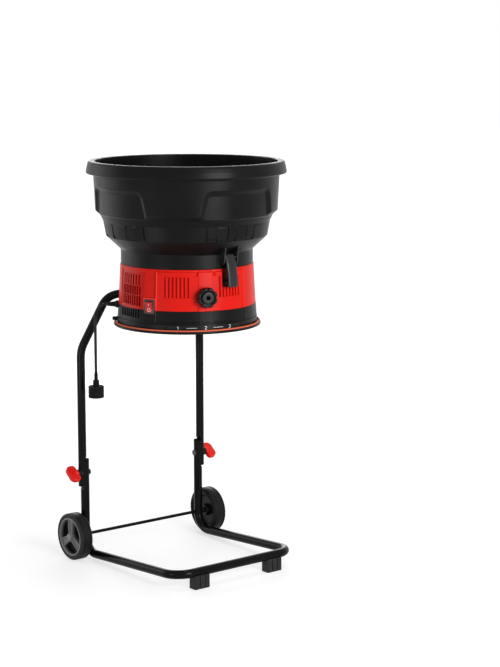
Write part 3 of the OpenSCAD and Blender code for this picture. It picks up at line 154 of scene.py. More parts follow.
def streakFinish(name, colour, shade, rough, along=(1.0, 1.0, 30.0), metal=1.0):
    # turned or drawn metal: streaks stretched across one axis, with faint spots
    material, shader, where = startMaterial(name)
    stretched = where.node("ShaderNodeMapping", {}, {"Vector": where, "Scale": along})
    streaks = stretched.noise(60.0, 4.0, 0.7).remap()
    spots = where.noise(160.0, 2.0).remap(0.55, 0.75)
    tone = (streaks * 0.7 + spots * 0.3).blendColours(colour, shade)
    feed(shader, Base_Color=tone, Roughness=streaks * 0.16 + spots * 0.1 + rough,
         Normal=streaks.bump(0.00006, 0.5), Metallic=metal)
    return material


blackPlastic = mouldedFinish("black_moulding", grey(0.0026, 0.03), grey(0.0038, 0.03), 0.36, 0.00004, edgeWearAndHighlight=grey(0.018),
                             gleam=0.105)
# the band takes a far lighter edge colour than the rest of the black: painted highlight lines along its edges, partly
# wear
bandPlastic = mouldedFinish("band_moulding", grey(0.0026, 0.03), grey(0.0038, 0.03), 0.36, 0.00004, edgeWearAndHighlight=grey(0.10),
                            gleam=0.105)
knobBlack = mouldedFinish("knob_moulding", grey(0.0040), grey(0.0055), 0.24, 0.00004, edgeWearAndHighlight=grey(0.020), gleam=0.16)
# near black and dull: painted shade on the disc in the knob's hole, and a plain dull black for the post caps
wellBlack = mouldedFinish("well_shade", grey(0.0012), grey(0.0018), 0.85, 0.00004, gleam=0.02)
innerPlastic = mouldedFinish("inner_moulding", grey(0.010), grey(0.015), 0.52, 0.00008)
redPlastic = mouldedFinish("red_moulding", (0.78, 0.0125, 0.0075, 1.0), (0.82, 0.0150, 0.0085, 1.0), 0.36, 0.00004,
                           edgeWearAndHighlight=(0.90, 0.055, 0.036, 1.0), gleam=0.11)
knobRed = mouldedFinish("wing_knob_red", (0.90, 0.013, 0.007, 1.0), (0.94, 0.017, 0.008, 1.0), 0.30, 0.00003,
                        edgeWearAndHighlight=(0.9, 0.05, 0.035, 1.0), coat=0.12, gleam=0.16)
rockerRed = mouldedFinish("rocker_red", (0.60, 0.010, 0.008, 1.0), (0.68, 0.014, 0.010, 1.0), 0.24, 0.00002, coat=0.25,
                          gleam=0.2)
sealRubber = mouldedFinish("seal_rubber", (0.80, 0.17, 0.085, 1.0), (0.72, 0.14, 0.07, 1.0), 0.62, 0.00008, gleam=0.15)
tubePaint = mouldedFinish("tube_paint", grey(0.0026), grey(0.0040), 0.17, 0.00004, 260.0, gleam=0.085)
tyreRubber = mouldedFinish("tyre_rubber", grey(0.018), grey(0.026), 0.50, 0.00012, 700.0, edgeWearAndHighlight=grey(0.05), gleam=0.12)
wheelGrey = mouldedFinish("wheel_moulding", grey(0.25), grey(0.29), 0.42, 0.00007, edgeWearAndHighlight=grey(0.36), gleam=0.18)
footRubber = mouldedFinish("foot_moulding", grey(0.019), grey(0.025), 0.46, 0.00012, 700.0, edgeWearAndHighlight=grey(0.07), gleam=0.14)
leadRubber = mouldedFinish("lead_jacket", grey(0.006), grey(0.009), 0.42, 0.00006, 1100.0, gleam=0.15)
plugRubber = mouldedFinish("plug_moulding", grey(0.006), grey(0.009), 0.75, 0.00006, 1100.0, gleam=0.10)
bezelPlastic = mouldedFinish("bezel_moulding", grey(0.030), grey(0.045), 0.22, 0.00003, coat=0.3, gleam=0.2)
# lever grey: the levers' own colour, and on the latch ears a painted highlight
leverGreyAndEarHighlight = mouldedFinish("lever_moulding_and_ear_highlight", grey(0.016, 0.05), grey(0.022, 0.05), 0.30, 0.00006, edgeWearAndHighlight=grey(0.10),
                             gleam=0.24)
labelPrint = mouldedFinish("label_film", grey(0.004), grey(0.006), 0.22, 0.00002, coat=0.1, gleam=0.12)
whiteInk = mouldedFinish("white_ink", grey(0.80), grey(0.70), 0.45, 0.00003)
orangeLine = mouldedFinish("nylon_line", (0.85, 0.16, 0.02, 1.0), (0.72, 0.11, 0.015, 1.0), 0.30, 0.00005)
copperWire = streakFinish("winding_copper", (0.55, 0.24, 0.10, 1.0), (0.36, 0.14, 0.06, 1.0), 0.28, (1.0, 1.0, 40.0))
zincSteel = streakFinish("zinc_steel", grey(0.55, 0.02), grey(0.40, 0.02), 0.26)
darkSteel = streakFinish("black_steel", grey(0.05), grey(0.075), 0.34, metal=0.6)
brassPlate = streakFinish("plain_brass", (0.66, 0.48, 0.20, 1.0), (0.50, 0.34, 0.13, 1.0), 0.25)


def tint(material, level, low, high, below=None, above=None):
    # turns the colour to another one under or over a level that is worked out from object coordinates
    tree = material.node_tree
    shader = tree.nodes["Principled BSDF"]
    where = Wire(tree, tree.nodes["Texture Coordinate"].outputs["Object"])
    tone = Wire(tree, shader.inputs["Base Color"].links[0].from_socket)
    feed(shader, Base_Color=level(where).remap(low, high).blendColours(below or tone, above or tone))


def axisOf(where, axis):
    return where.node("ShaderNodeSeparateXYZ", {}, {0: where}, axis)


def besideWheel(where):
    # distance from the middle plane
    x = axisOf(where, 0)
    return x.math("ABSOLUTE", x, 0.0)


def overCone(taper, reach):
    # radius beyond a cone about the head's axis
    def level(where):
        x, y, z = [axisOf(where, i) for i in range(3)]
        across = x * x + y * y
        return across.math("SQRT", across, 0.0) + z * taper - reach
    return level


overCasing, overBand = overCone(0.0521, 0.1944), overCone(0.0746, 0.2090)
# painted shade: the web between the spokes turns near black and the groove floors darker, standing in for the dark
# openings and grooves
tint(wheelGrey, besideWheel, 0.2045, 0.2155, below=grey(0.008))
# painted shade: the tread and the inner side turn near black, and only the outer sidewall keeps the rubber's grey
tint(tyreRubber, besideWheel, 0.2125, 0.2165, below=grey(0.008))
# painted shade: slots and vents sunk below the casing turn dark red
tint(redPlastic, overCasing, -0.0034, -0.0008, below=(0.42, 0.0070, 0.0050, 1.0))
# painted shade: the deep recess behind each latch turns near black
tint(redPlastic, overCasing, -0.0085, -0.0050, below=(0.03, 0.0010, 0.0010, 1.0))
# painted highlight: the tops of the thin beads on the casing and on the band turn lighter
tint(redPlastic, overCasing, 0.0033, 0.0037, above=(1.0, 0.075, 0.055, 1.0))
tint(bandPlastic, overBand, 0.0033, 0.0037, above=grey(0.060))
finishes = {"black_plastic": blackPlastic, "red_plastic": redPlastic, "orange_rubber": sealRubber,
            "black_tube": tubePaint, "steel": zincSteel, "dark_steel": darkSteel, "tyre_plastic": tyreRubber,
            "wheel_plastic": wheelGrey, "line_orange": orangeLine, "copper": copperWire, "brass": brassPlate,
            "label": labelPrint, "lead": leadRubber}
print("finishes made")


def ease(x, low, high):
    # 0 below low, 1 above high, a smooth S between them
    t = np.clip((x - low) / (high - low), 0.0, 1.0)
    return t * t * (3 - 2 * t)


def inside(x, low, high, soft):
    # 1 between low and high, falling to 0 over soft outside them
    return ease(x, low - soft, low) * (1 - ease(x, high, high + soft))


def nearQuarter(degrees, spacing=90.0):
    # angle from the nearest multiple of the spacing
    return (degrees + spacing / 2) % spacing - spacing / 2


def pick(part, names):
    # several values of a piece's dictionary
    return [part[name] for name in names.split()]


def stacked(a, b, c):
    # three coordinates spread over one grid of points
    return np.stack(np.broadcast_arrays(a, b, c), -1)


def fullTurn(count):
    return np.linspace(0, 2 * math.pi, count, endpoint=False)


def looped(rows):
    # a section closed by its first row
    return np.concatenate([rows, rows[:1]])


def gathered(groups, low, high, digits, gap=0.0):
    # grid lines in order: rounded, kept between low and high and more than a gap apart
    line = np.unique(np.round(np.concatenate([np.ravel(g) for g in groups]), digits))
    line = line[(line >= low) & (line <= high)]
    return line[np.concatenate([[True], np.diff(line) > gap])]


def filletPath(corners, arcSteps=5, close=False, share=0.48):
    # straight lines between corners (place and radius), each rounded by an arc that takes at most a share of a side
    points = np.array([c[:-1] for c in corners], float)
    count, line = len(points), []
    for i, here in enumerate(points):
        radius = corners[i][-1]
        if radius <= 0 or (not close and i in (0, count - 1)):
            line.append(here[None])
            continue
        before, after = points[i - 1] - here, points[(i + 1) % count] - here
        long = np.linalg.norm(before), np.linalg.norm(after)
        before, after = before / long[0], after / long[1]
        half = math.acos(np.clip(before @ after, -1, 1)) / 2
        reach = min(radius / math.tan(half), share * min(long))
        bow = reach * math.tan(half)
        middle = here + (before + after) / np.linalg.norm(before + after) * (bow / math.sin(half))
        start, end = here + before * reach - middle, here + after * reach - middle
        turn = math.pi - 2 * half
        across = end - start * math.cos(turn)
        across = across / np.linalg.norm(across) * bow
        t = np.linspace(0, turn, arcSteps + 1)[:, None]
        line.append(middle + start * np.cos(t) + across * np.sin(t))
    return np.concatenate(line)


def fillPath(line, step):
    # adds even points to each stretch of a line that is longer than step
    stretch = np.linalg.norm(np.diff(line, axis=0), axis=1)
    counts = np.maximum(1, np.ceil(stretch / step).astype(int))
    parts = [line[i] + np.linspace(0, 1, n, endpoint=False)[:, None] * (line[i + 1] - line[i])
             for i, n in enumerate(counts)]
    return np.concatenate(parts + [line[-1:]])


def gridFaces(rows, columns, wrap=True):
    # four-sided faces between neighbours of a grid, wrapped round its columns
    r, c = np.meshgrid(np.arange(rows - 1) * columns, np.arange(columns - (not wrap)), indexing="ij")
    after = (c + 1) % columns
    return np.stack([r + c, r + after, r + columns + after, r + columns + c], -1).reshape(-1, 4)


def makePiece(name, grids, material, body, replaced, sharp=38.0):
    # joins grids of points into one mesh, merges doubles, which closes seams and ends, and turns faces outwards
    verts, faces, start = [], [], 0
    for points in grids:
        verts.append(points.reshape(-1, 3))
        faces.append(gridFaces(*points.shape[:2]) + start)
        start += len(verts[-1])
    verts, faces = np.concatenate(verts).astype(np.float32), np.concatenate(faces).astype(np.int32)
    mesh = bpy.data.meshes.new(name)
    mesh.vertices.add(len(verts))
    mesh.vertices.foreach_set("co", verts.ravel())
    mesh.loops.add(faces.size)
    mesh.loops.foreach_set("vertex_index", faces.ravel())
    mesh.polygons.add(len(faces))
    mesh.polygons.foreach_set("loop_start", np.arange(0, faces.size, 4, dtype=np.int32))
    mesh.update(calc_edges=True)
    work = bmesh.new()
    work.from_mesh(mesh)
    bmesh.ops.remove_doubles(work, verts=work.verts, dist=2e-6)
    bmesh.ops.dissolve_degenerate(work, edges=work.edges, dist=1e-7)
    bmesh.ops.recalc_face_normals(work, faces=work.faces)
    work.to_mesh(mesh)
    work.free()
    mesh.polygons.foreach_set("use_smooth", np.ones(len(mesh.polygons), dtype=bool))
    mesh.set_sharp_from_angle(angle=math.radians(sharp))
    mesh.materials.append(material)
    piece = bpy.data.objects.new(name, mesh)
    bpy.context.scene.collection.objects.link(piece)
    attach(piece, body)
    if replaced:
        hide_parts(*replaced)
    return piece


def turned(angles, radii, heights):
    # a surface of revolution: angle 0 looks to the front (-Y), positive turns to +X
    a = np.radians(angles)
    return stacked(radii * np.sin(a), -radii * np.cos(a), heights)


def atHeight(line, z):
    # a flat outline raised to one height, or to one for each point
    return np.column_stack([line, np.broadcast_to(z, len(line))])


def outwards(points, part):
    # local (across, up, out) set on the head's side at the part's angle, face radius and height
    a = math.radians(part["angle"])
    side, out = np.array([math.cos(a), math.sin(a), 0.0]), np.array([math.sin(a), -math.cos(a), 0.0])
    x, y, z = np.split(points, 3, axis=-1)
    return x * side + (z + part["face"]) * out + (y + part["z"]) * np.array([0.0, 0.0, 1.0])


def capped(rows):
    # closes both ends of a stack of loops on their middle points
    ends = [np.broadcast_to(r.mean(axis=0), r.shape)[None] for r in (rows[0], rows[-1])]
    return np.concatenate([ends[0], rows, ends[1]])


def roundedRect(halfWide, halfHigh, radius, steps=5):
    # outline of a rectangle with rounded corners, anticlockwise
    corners = [(halfWide, -halfHigh, radius), (halfWide, halfHigh, radius), (-halfWide, halfHigh, radius),
               (-halfWide, -halfHigh, radius)]
    return filletPath(corners, steps, True)


def slab(halfWide, halfHigh, radius, low, high, bevel, taper=0.0):
    # rounded block: the outline is inset along a quarter circle at both ends, and narrows by taper
    turn = np.linspace(0, math.pi / 2, 5)
    levels = np.concatenate([low + bevel * (1 - np.sin(turn)[::-1]), high - bevel * (1 - np.sin(turn))])
    insets = np.concatenate([bevel * (1 - np.cos(turn))[::-1], taper + bevel * (1 - np.cos(turn))])
    return capped(np.array([atHeight(roundedRect(halfWide - inset, halfHigh - inset, max(radius - inset, radius * 0.2)),
                                     level) for level, inset in zip(levels, insets)]))


def sweep(path, outline, upHint=(0.0, 0.0, 1.0)):
    # an outline (n, 2) carried along a path on frames that turn as little as possible
    along = np.gradient(path, axis=0)
    along /= np.linalg.norm(along, axis=1)[:, None]
    side = np.cross(along[0], upHint)
    sides = []
    for direction in along:
        side = side - direction * (side @ direction)
        side = side / np.linalg.norm(side)
        sides.append(side)
    sides = np.array(sides)
    ups = np.cross(sides, along)
    return path[:, None] + outline[:, :1] * sides[:, None] + outline[:, 1:] * ups[:, None]


def circle(radius, count):
    t = fullTurn(count)
    return radius * np.column_stack([np.cos(t), np.sin(t)])


def bentPath(points, bends, step):
    # a tube's middle line: straight runs with a round bend at each inner point
    corners = [(*point, bend) for point, bend in zip(points, (0, *bends, 0))]
    return fillPath(filletPath(corners, 12, share=1.0), step)


# the lead comes first: out of the gland, down in a bend and straight into the hanging plug
lead = {"radius": 0.0033, "hang": (-0.1774, 0.1242),
        "bend": [(-0.1536, 0.1075, 0.6290), (-0.1580, 0.1106, 0.6286), (-0.1620, 0.1134, 0.6273),
                 (-0.1660, 0.1162, 0.6248), (-0.1700, 0.1190, 0.6210), (-0.1734, 0.1214, 0.6160),
                 (-0.1758, 0.1231, 0.6100), (-0.1770, 0.1240, 0.6030)],
        "drop": (0.5920, 0.5760, 0.5580, 0.5400, 0.5220, 0.5040, 0.4860, 0.4670)}
leadRoute = np.array(lead["bend"] + [(*lead["hang"], z) for z in lead["drop"]])
leadPiece = makePiece("mains_lead", [capped(sweep(leadRoute, circle(lead["radius"], 20)))], leadRubber, "head",
                      ("cord",))

plug = {"axis": (-0.1774, 0.1242), "top": 0.467, "cupLow": 0.4055, "cupTop": 0.4332, "cupRadius": 0.0185,
        "wall": 0.0030, "floor": 0.0140, "dish": 0.0018, "collar": 0.0074, "collarTop": 0.4472, "neck": 0.0045,
        "neckTop": 0.4620, "sleeve": 0.0037, "grip": 0.0004, "flutes": 18}


def plugBody(part):
    # a shrouded plug: thin neck, wider collar and a hollow cup with a dished top, turned about a vertical axis
    top, low, rim, wide, wall, floor, dish = pick(part, "top cupLow cupTop cupRadius wall floor dish")
    collar, collarTop, neck, neckTop, sleeve = pick(part, "collar collarTop neck neckTop sleeve")
    outline = filletPath([(0.0, low + floor, 0), (wide - wall, low + floor, 0.001), (wide - wall, low, 0.0008),
                          (wide, low, 0.0016), (wide, rim, 0.0012), (wide - wall, rim, 0.0008),
                          (wide - 1.5 * wall, rim - dish, 0.0010), (collar, rim - dish, 0.0008),
                          (collar, collarTop, 0.0006), (neck, collarTop, 0.0004), (neck, neckTop, 0.0004),
                          (sleeve, neckTop, 0.0003), (sleeve, top, 0.0002), (lead["radius"], top, 0)], 4)
    outline = fillPath(outline, 0.0012)
    angles = np.linspace(0, 360, 72, endpoint=False)
    radius, height = outline[:, :1], outline[:, 1:]
    grip = part["grip"] * inside(height, low + 0.005, rim - 0.005, 0.002) * (radius > wide - 0.001)
    radius = radius - grip * (0.5 + 0.5 * np.cos(np.radians(angles * part["flutes"])))
    return turned(angles, np.maximum(radius, 0), height) + np.array([*part["axis"], 0.0])


plugPiece = makePiece("lead_plug", [plugBody(plug)], plugRubber, "head", ("plug",))

hopper = {"wall": 0.0035, "pocketTop": 0.9095, "pocketHalfTop": 25.2, "pocketHalfLow": 28.6, "pocketDepth": 0.0070,
          "pocketRun": 0.0100, "pocketCorner": 0.018, "pocketZ": (0.838, 0.922), "columnHalf": 27.0,
          "leanFrom": (0.80, 0.845), "leanTo": (0.915, 0.934), "wallFoot": (0.213, 0.852), "wallLean": 0.004 / 0.081,
          "grooves": (-23.4, -7.9, 7.9, 23.4), "grooveDepth": 0.0024, "grooveHalf": (0.20, 0.44),
          "lowerZ": (0.7945, 0.8265),
          "plates": ((-16.0, -7.9), (-1.0, 7.9), (16.0, 23.4)), "plateRaise": 0.0011,
          "notchZ": (0.7935, 0.7985), "notchDepth": 0.0016, "recessHalf": 10.2, "recessSoft": 0.7,
          "recessZ": (0.7200, 0.7720), "recessDepth": 0.001575,
          "outer": [(0.1550, 0.7275, 0.0008), (0.1550, 0.7610, 0.003), (0.1890, 0.7930, 0.0012),
                    (0.1953, 0.8280, 0.0022), (0.2025, 0.8420, 0.0012), (0.2130, 0.8520, 0.0028),
                    (0.2170, 0.9330, 0.0015), (0.2195, 0.9365, 0.0010), (0.2345, 0.9375, 0.0028),
                    (0.2322, 0.9520, 0.006), (0.2285, 0.9665, 0.0055), (0.2180, 0.9655, 0.002),
                    (0.2135, 0.9660, 0.0022)],
          "inner": [(0.2135, 0.9330, 0.002), (0.2095, 0.8530, 0.003), (0.1985, 0.8420, 0.003), (0.1915, 0.8290, 0.003),
                    (0.1855, 0.7950, 0.003), (0.1515, 0.7630, 0.004), (0.1515, 0.7275, 0.0008)],
          "between": ((0.7275, 0.763, 0.793, 0.828, 0.842, 0.852, 0.9375),
                      (0.1532, 0.1532, 0.1872, 0.1935, 0.2005, 0.2112, 0.2152)),
          "ear": [(0.1515, 0.7385, 0.0002), (0.1640, 0.7385, 0.003), (0.1690, 0.7440, 0.003), (0.1700, 0.7600, 0.004),
                  (0.1735, 0.7785, 0.001), (0.1690, 0.7785, 0.0002), (0.1520, 0.7620, 0.0002)],
          "earSides": (0.0170, 0.0174, 0.0196, 0.0200), "earShrink": (1 / 30, 0.0, 0.0, 1 / 30)}


def hopperSurface(part):
    # a closed wall profile turned round the axis; pockets press in where a rounded frame says so, and
    # grooves, plates and the latch recess move the lower wall
    top, halfTop, halfLow, corner, half = pick(part, "pocketTop pocketHalfTop pocketHalfLow pocketCorner columnHalf")
    grooves, plates, recessHalf, recessSoft = pick(part, "grooves plates recessHalf recessSoft")
    wallRadius, wallZ = part["wallFoot"]
    quarters = (-180, -90, 0, 90)
    recessEdges = np.add.outer([-180, 0, 180], [-recessHalf - recessSoft, -recessHalf, recessHalf,
                                                recessHalf + recessSoft])
    columns = gathered([np.arange(-180, 180, 2.0), recessEdges,
                        np.add.outer(np.add.outer(quarters, [-half, half]), np.linspace(-5.5, 5.5, 16)),
                        np.add.outer(np.add.outer(quarters, grooves), [-0.44, -0.24, 0.0, 0.24, 0.44]),
                        np.add.outer(np.add.outer(quarters, np.ravel(plates)), [-0.25, 0.0])], -180, 179.999, 3, 0.05)
    line = fillPath(filletPath(part["outer"] + part["inner"], 5, True), 0.0026)
    radius, height = line[:, :1], line[:, 1:]
    # the pocket's sides lean, so the columns lean with them
    fade = ease(height, *part["leanFrom"])
    halfHere = halfTop + (halfLow - halfTop) * np.clip((top - height) / (top - wallZ), 0, 1) * fade
    halfHere = half + (halfHere - half) * fade * (1 - ease(height, *part["leanTo"]))
    turnTo = np.round(columns / 90.0) * 90.0
    local = columns - turnTo
    moved = np.where(np.abs(local) <= half, local * halfHere / half,
                     np.sign(local) * (45 - (45 - np.abs(local)) * (45 - halfHere) / (45 - half)))
    # distance outside the pocket's rounded frame, along the wall
    across = (np.abs(moved) - halfHere) * math.radians(1) * wallRadius + corner
    up = height - top + corner
    away = np.hypot(np.maximum(across, 0), np.maximum(up, 0)) + np.minimum(np.maximum(across, up), 0) - corner
    pressed = part["pocketDepth"] * np.clip(-away / part["pocketRun"], 0, 1)
    outer = radius > np.interp(height, *part["between"])
    limit = wallRadius + (height - wallZ) * part["wallLean"] - pressed - np.where(outer, 0.0, part["wall"])
    result = np.where(inside(height, *part["pocketZ"], 0.004) > 0, np.minimum(radius, limit), radius)
    # lower wall: plates stand a little proud and thin grooves part them
    quarter = nearQuarter(columns)
    plate = sum(inside(quarter, a, b, 0.25) for a, b in plates)
    groove = sum(1 - ease(np.abs(quarter - g), *part["grooveHalf"]) for g in grooves)
    shift = inside(height, *part["lowerZ"], 0.001) * (part["plateRaise"] * plate - part["grooveDepth"] * groove)
    notch = inside(height, *part["notchZ"], 0.0006) * (1 - np.clip(plate, 0, 1)) * (np.abs(quarter) < grooves[-1])
    # the neck is set back behind each latch
    neck = 1 - ease(np.abs(nearQuarter(columns, 180.0)), recessHalf, recessHalf + recessSoft)
    neck = neck * inside(height, *part["recessZ"], 0.004)
    shift = shift - part["notchDepth"] * notch - part["recessDepth"] * neck
    return looped(turned(turnTo + moved, result + np.where(outer, shift, 0.0), height))


def hopperEars(part, facing):
    # two thin upright ears: a pointed outline in the radial plane with rounded edges
    line = filletPath(part["ear"], 5, True)
    middle = line.mean(axis=0)
    ears = []
    for side in (-1, 1):
        rows = []
        for shrink, across in zip(part["earShrink"], part["earSides"]):
            shrunk = line + (middle - line) * shrink
            rows.append(np.column_stack([np.full(len(line), side * across), -shrunk[:, 0], shrunk[:, 1]]))
        ears.append(capped(np.array(rows)) * np.array([facing, facing, 1.0]))
    return ears


makePiece("hopper_shell", [hopperSurface(hopper)], blackPlastic, "head", ("hopper",))
# the ears take the lighter lever grey, not the hopper's black: a painted highlight along them
makePiece("latch_ears", hopperEars(hopper, 1) + hopperEars(hopper, -1), leverGreyAndEarHighlight, "head", ())
print("hopper made")

shell = {"low": 0.6335, "top": 0.7275, "lowRadius": 0.1614, "topRadius": 0.1565, "lip": (0.0007, 0.0008),
         "wall": 0.003, "leastWall": 0.0006, "panel": (-62.5, 17.0), "panelTop": 0.7220, "panelRaise": 0.0024,
         "bead": 0.0014, "beads": ((16.75, 17.15), (-62.6, -62.2)), "inset": 0.0006, "insetSides": (-61.3, 16.0),
         "insetTop": 0.7120, "knobAngle": -21.5, "strip": (-27.2, -15.8), "stripTop": (0.7215, 0.7245),
         "stripRaise": 0.0032, "slit": (6.25, 6.65), "slitZ": (0.7145, 0.7225), "fineZ": 0.7165,
         "slotDepth": 0.0042, "slotPitch": 3.2, "slotGroups": (-45.5, 0.5), "slotCount": 7, "slotHalf": 0.62,
         "slotZ": (0.6645, 0.7105), "ventAngle": -92.0, "ventPanel": (-108.5, -75.0), "ventZ": (0.6375, 0.7185),
         "ventInset": 0.0016, "ventDepth": 0.0032,
         "ventRows": ((0.6880, 0.7115, 7, 3.6, 0.75), (0.6655, 0.6850, 9, 3.0, 0.95), (0.6410, 0.6626, 9, 3.0, 0.95)),
         "recessHalf": 6.7, "recessLow": 0.6860, "recessRadius": 0.1500, "switchAngle": -68.0, "pad": (-73.9, -62.1),
         "padZ": (0.6225, 0.6615), "padRadius": 0.1643}


def rowAngles(centre, count, pitch):
    return centre + (np.arange(count) - (count - 1) / 2) * pitch


# how far each mask takes to fade: degrees round the axis, and from level on metres up it
soft = {"panel": 0.5, "inset": 0.4, "slot": 0.22, "vent": 0.2, "slit": 0.15, "bead": 0.25, "recess": 0.35,
        "level": 0.0007, "panelTop": 0.0016, "beadTop": 0.0005, "padEdge": 0.0012, "ventFrame": 0.001}
columnStep, columnGap, lipDepth = 2.5, 0.04, 0.0004


def coneRadius(part, z):
    low, top, lowRadius, topRadius = pick(part, "low top lowRadius topRadius")
    return lowRadius + (topRadius - lowRadius) * (z - low) / (top - low)


def lipRound(part, z):
    # how far the wall draws in at its lower and upper edges
    low, top, (lowLip, topLip) = pick(part, "low top lip")
    return lipDepth * (ease(z, top - topLip, top) + 1 - ease(z, low, low + lowLip))


def padFace(part, a, mask):
    # radius of the switch's flat pad where the mask is 1
    flat = part["padRadius"] / np.maximum(np.cos(np.radians(a - part["switchAngle"])), 0.5)
    return flat * mask * inside(a, *part["pad"], soft["inset"])


def sideBeads(part, a):
    return sum(inside(a, *sides, soft["bead"]) for sides in part["beads"])


def shellSurface(part):
    # a cone wall whose outer face is moved by soft-edged masks: panel, strip, slots, vents, pad and latch recess
    low, top, panel, panelTop, strip, insetTop = pick(part, "low top panel panelTop strip insetTop")
    slotZ, slotHalf, slitZ, ventPanel, ventRows = pick(part, "slotZ slotHalf slitZ ventPanel ventRows")
    pad, padTop, recessHalf, recessLow = part["pad"], part["padZ"][1], part["recessHalf"], part["recessLow"]
    level = soft["level"]
    slots = np.concatenate([rowAngles(g, part["slotCount"], part["slotPitch"]) for g in part["slotGroups"]])
    vents = [(rowAngles(part["ventAngle"], count, pitch), w, z) for *z, count, pitch, w in ventRows]
    steps = [*panel, *strip, *ventPanel, *pad, -recessHalf, recessHalf, 180 - recessHalf, recessHalf - 180]
    a = gathered([np.arange(-180, 180, columnStep), np.add.outer(slots, [-0.85, -slotHalf, 0.0, slotHalf, 0.85]),
                  *[np.add.outer(v, [-w - 0.2, -w, 0.0, w, w + 0.2]) for v, w, z in vents],
                  np.add.outer(steps, np.linspace(-0.6, 0.6, 7))], -180, 179.999, 3, columnGap)[None]
    levels = [*slotZ, insetTop, panelTop, recessLow, padTop, part["fineZ"], slitZ[0],
              *np.ravel([z for v, w, z in vents])]
    z = gathered([np.arange(low, top, 0.005), [top, low + part["lip"][0], top - part["lip"][1]],
                  np.add.outer(levels, np.linspace(-0.0008, 0.0008, 5))], low, top, 5)[:, None]
    base = coneRadius(part, z)
    panelMask = inside(a, *panel, soft["panel"]) * (1 - ease(z, panelTop, panelTop + soft["panelTop"]))
    stripMask = inside(a, *strip, soft["panel"])
    inset = inside(a, *part["insetSides"], soft["inset"]) * (1 - ease(z, insetTop, insetTop + level)) * (1 - stripMask)
    out = base + part["panelRaise"] * panelMask - part["inset"] * inset
    out = np.maximum(out, base + part["stripRaise"] * stripMask * (1 - ease(z, *part["stripTop"])))
    slit = inside(np.abs(a - part["knobAngle"]), *part["slit"], soft["slit"]) * inside(z, *slitZ, level)
    slot = sum(inside(a, s - slotHalf, s + slotHalf, soft["slot"]) for s in slots) * inside(z, *slotZ, level)
    ventFrame = inside(a, *ventPanel, soft["inset"]) * inside(z, *part["ventZ"], soft["ventFrame"])
    vent = sum(inside(z, *span, level) * sum(inside(a, v - w, v + w, soft["vent"]) for v in angles)
               for angles, w, span in vents)
    out = out - part["slotDepth"] * np.clip(slot + slit, 0, 1) - part["ventInset"] * ventFrame
    beads = sideBeads(part, a) * (1 - ease(z, panelTop, panelTop + soft["beadTop"]))
    out = out - part["ventDepth"] * vent + part["bead"] * beads
    out = np.maximum(out, padFace(part, a, 1 - ease(z, padTop, padTop + soft["padEdge"])))
    recess = 1 - ease(np.abs(nearQuarter(a, 180.0)), recessHalf - soft["recess"], recessHalf)
    recess = recess * ease(z, recessLow, recessLow + level)
    out = out + (part["recessRadius"] - out) * recess - lipRound(part, z)
    inner = np.minimum(base - part["wall"], out - part["leastWall"])
    return looped(turned(a, np.concatenate([out, inner[::-1]]), np.concatenate([z, z[::-1]])))


makePiece("red_casing", [shellSurface(shell)], redPlastic, "head", ("red_shell",), 30.0)
print("red casing made")

band = {"low": 0.604, "top": 0.6335, "lowRadius": 0.164, "topRadius": 0.1618, "lip": (0.0006, 0.0006),
        "ventZ": (0.6140, 0.6310), "ventCount": 9, "ventPitch": 3.0, "ventHalf": 0.95, "ventDepth": 0.003,
        "edge": (0.6075, 0.6090), "beadZ": (0.6078, 0.6088),
        "back": [(0.149, 0.6335), (0.149, 0.7300), (0.146, 0.7300), (0.146, 0.6040), (0.149, 0.6040), (0.149, 0.6300),
                 (0.1600, 0.6300), (0.1605, 0.6040)]}


def bandSurface(part, over):
    # the housing's section turned round the axis, its outer band moved by the panel, strip, pad and vent masks
    low, top, ventZ, half, beadZ = pick(part, "low top ventZ ventHalf beadZ")
    panel, strip, pad, padLow = over["panel"], over["strip"], over["pad"], over["padZ"][0]
    vents = rowAngles(over["ventAngle"], part["ventCount"], part["ventPitch"])
    steps = [*panel, *strip, *pad, *over["ventPanel"]]
    a = gathered([np.arange(-180, 180, columnStep), np.add.outer(steps, np.linspace(-0.6, 0.6, 5)),
                  np.add.outer(vents, [-half - 0.2, -half, 0.0, half, half + 0.2])], -180, 179.999, 3, columnGap)[None]
    z = gathered([np.arange(low, top, 0.004), [top, low + part["lip"][0], top - part["lip"][1]],
                  np.add.outer([*beadZ, *ventZ, padLow], [-0.0007, 0.0, 0.0007])], low, top, 5)[:, None]
    lowEdge, panelMask = ease(z, *part["edge"]), inside(a, *panel, soft["panel"])
    raised = np.maximum(over["panelRaise"] * panelMask, over["stripRaise"] * inside(a, *strip, soft["panel"]))
    vent = inside(z, *ventZ, soft["level"]) * sum(inside(a, v - half, v + half, soft["vent"]) for v in vents)
    bead = np.maximum(sideBeads(over, a) * lowEdge, panelMask * inside(z, *beadZ, soft["level"]))
    out = coneRadius(part, z) + raised * lowEdge - part["ventDepth"] * vent + over["bead"] * bead
    out = np.maximum(out, padFace(over, a, ease(z, padLow - soft["padEdge"], padLow))) - lipRound(part, z)
    rest = fillPath(np.array(part["back"]), 0.02)
    radii = np.concatenate([out, np.broadcast_to(rest[:, :1], (len(rest), a.size))])
    return looped(turned(a, radii, np.concatenate([z, rest[:, 1:]])))


makePiece("black_band", [bandSurface(band, shell)], bandPlastic, "head", ("lower_housing",), 30.0)
print("black band made")

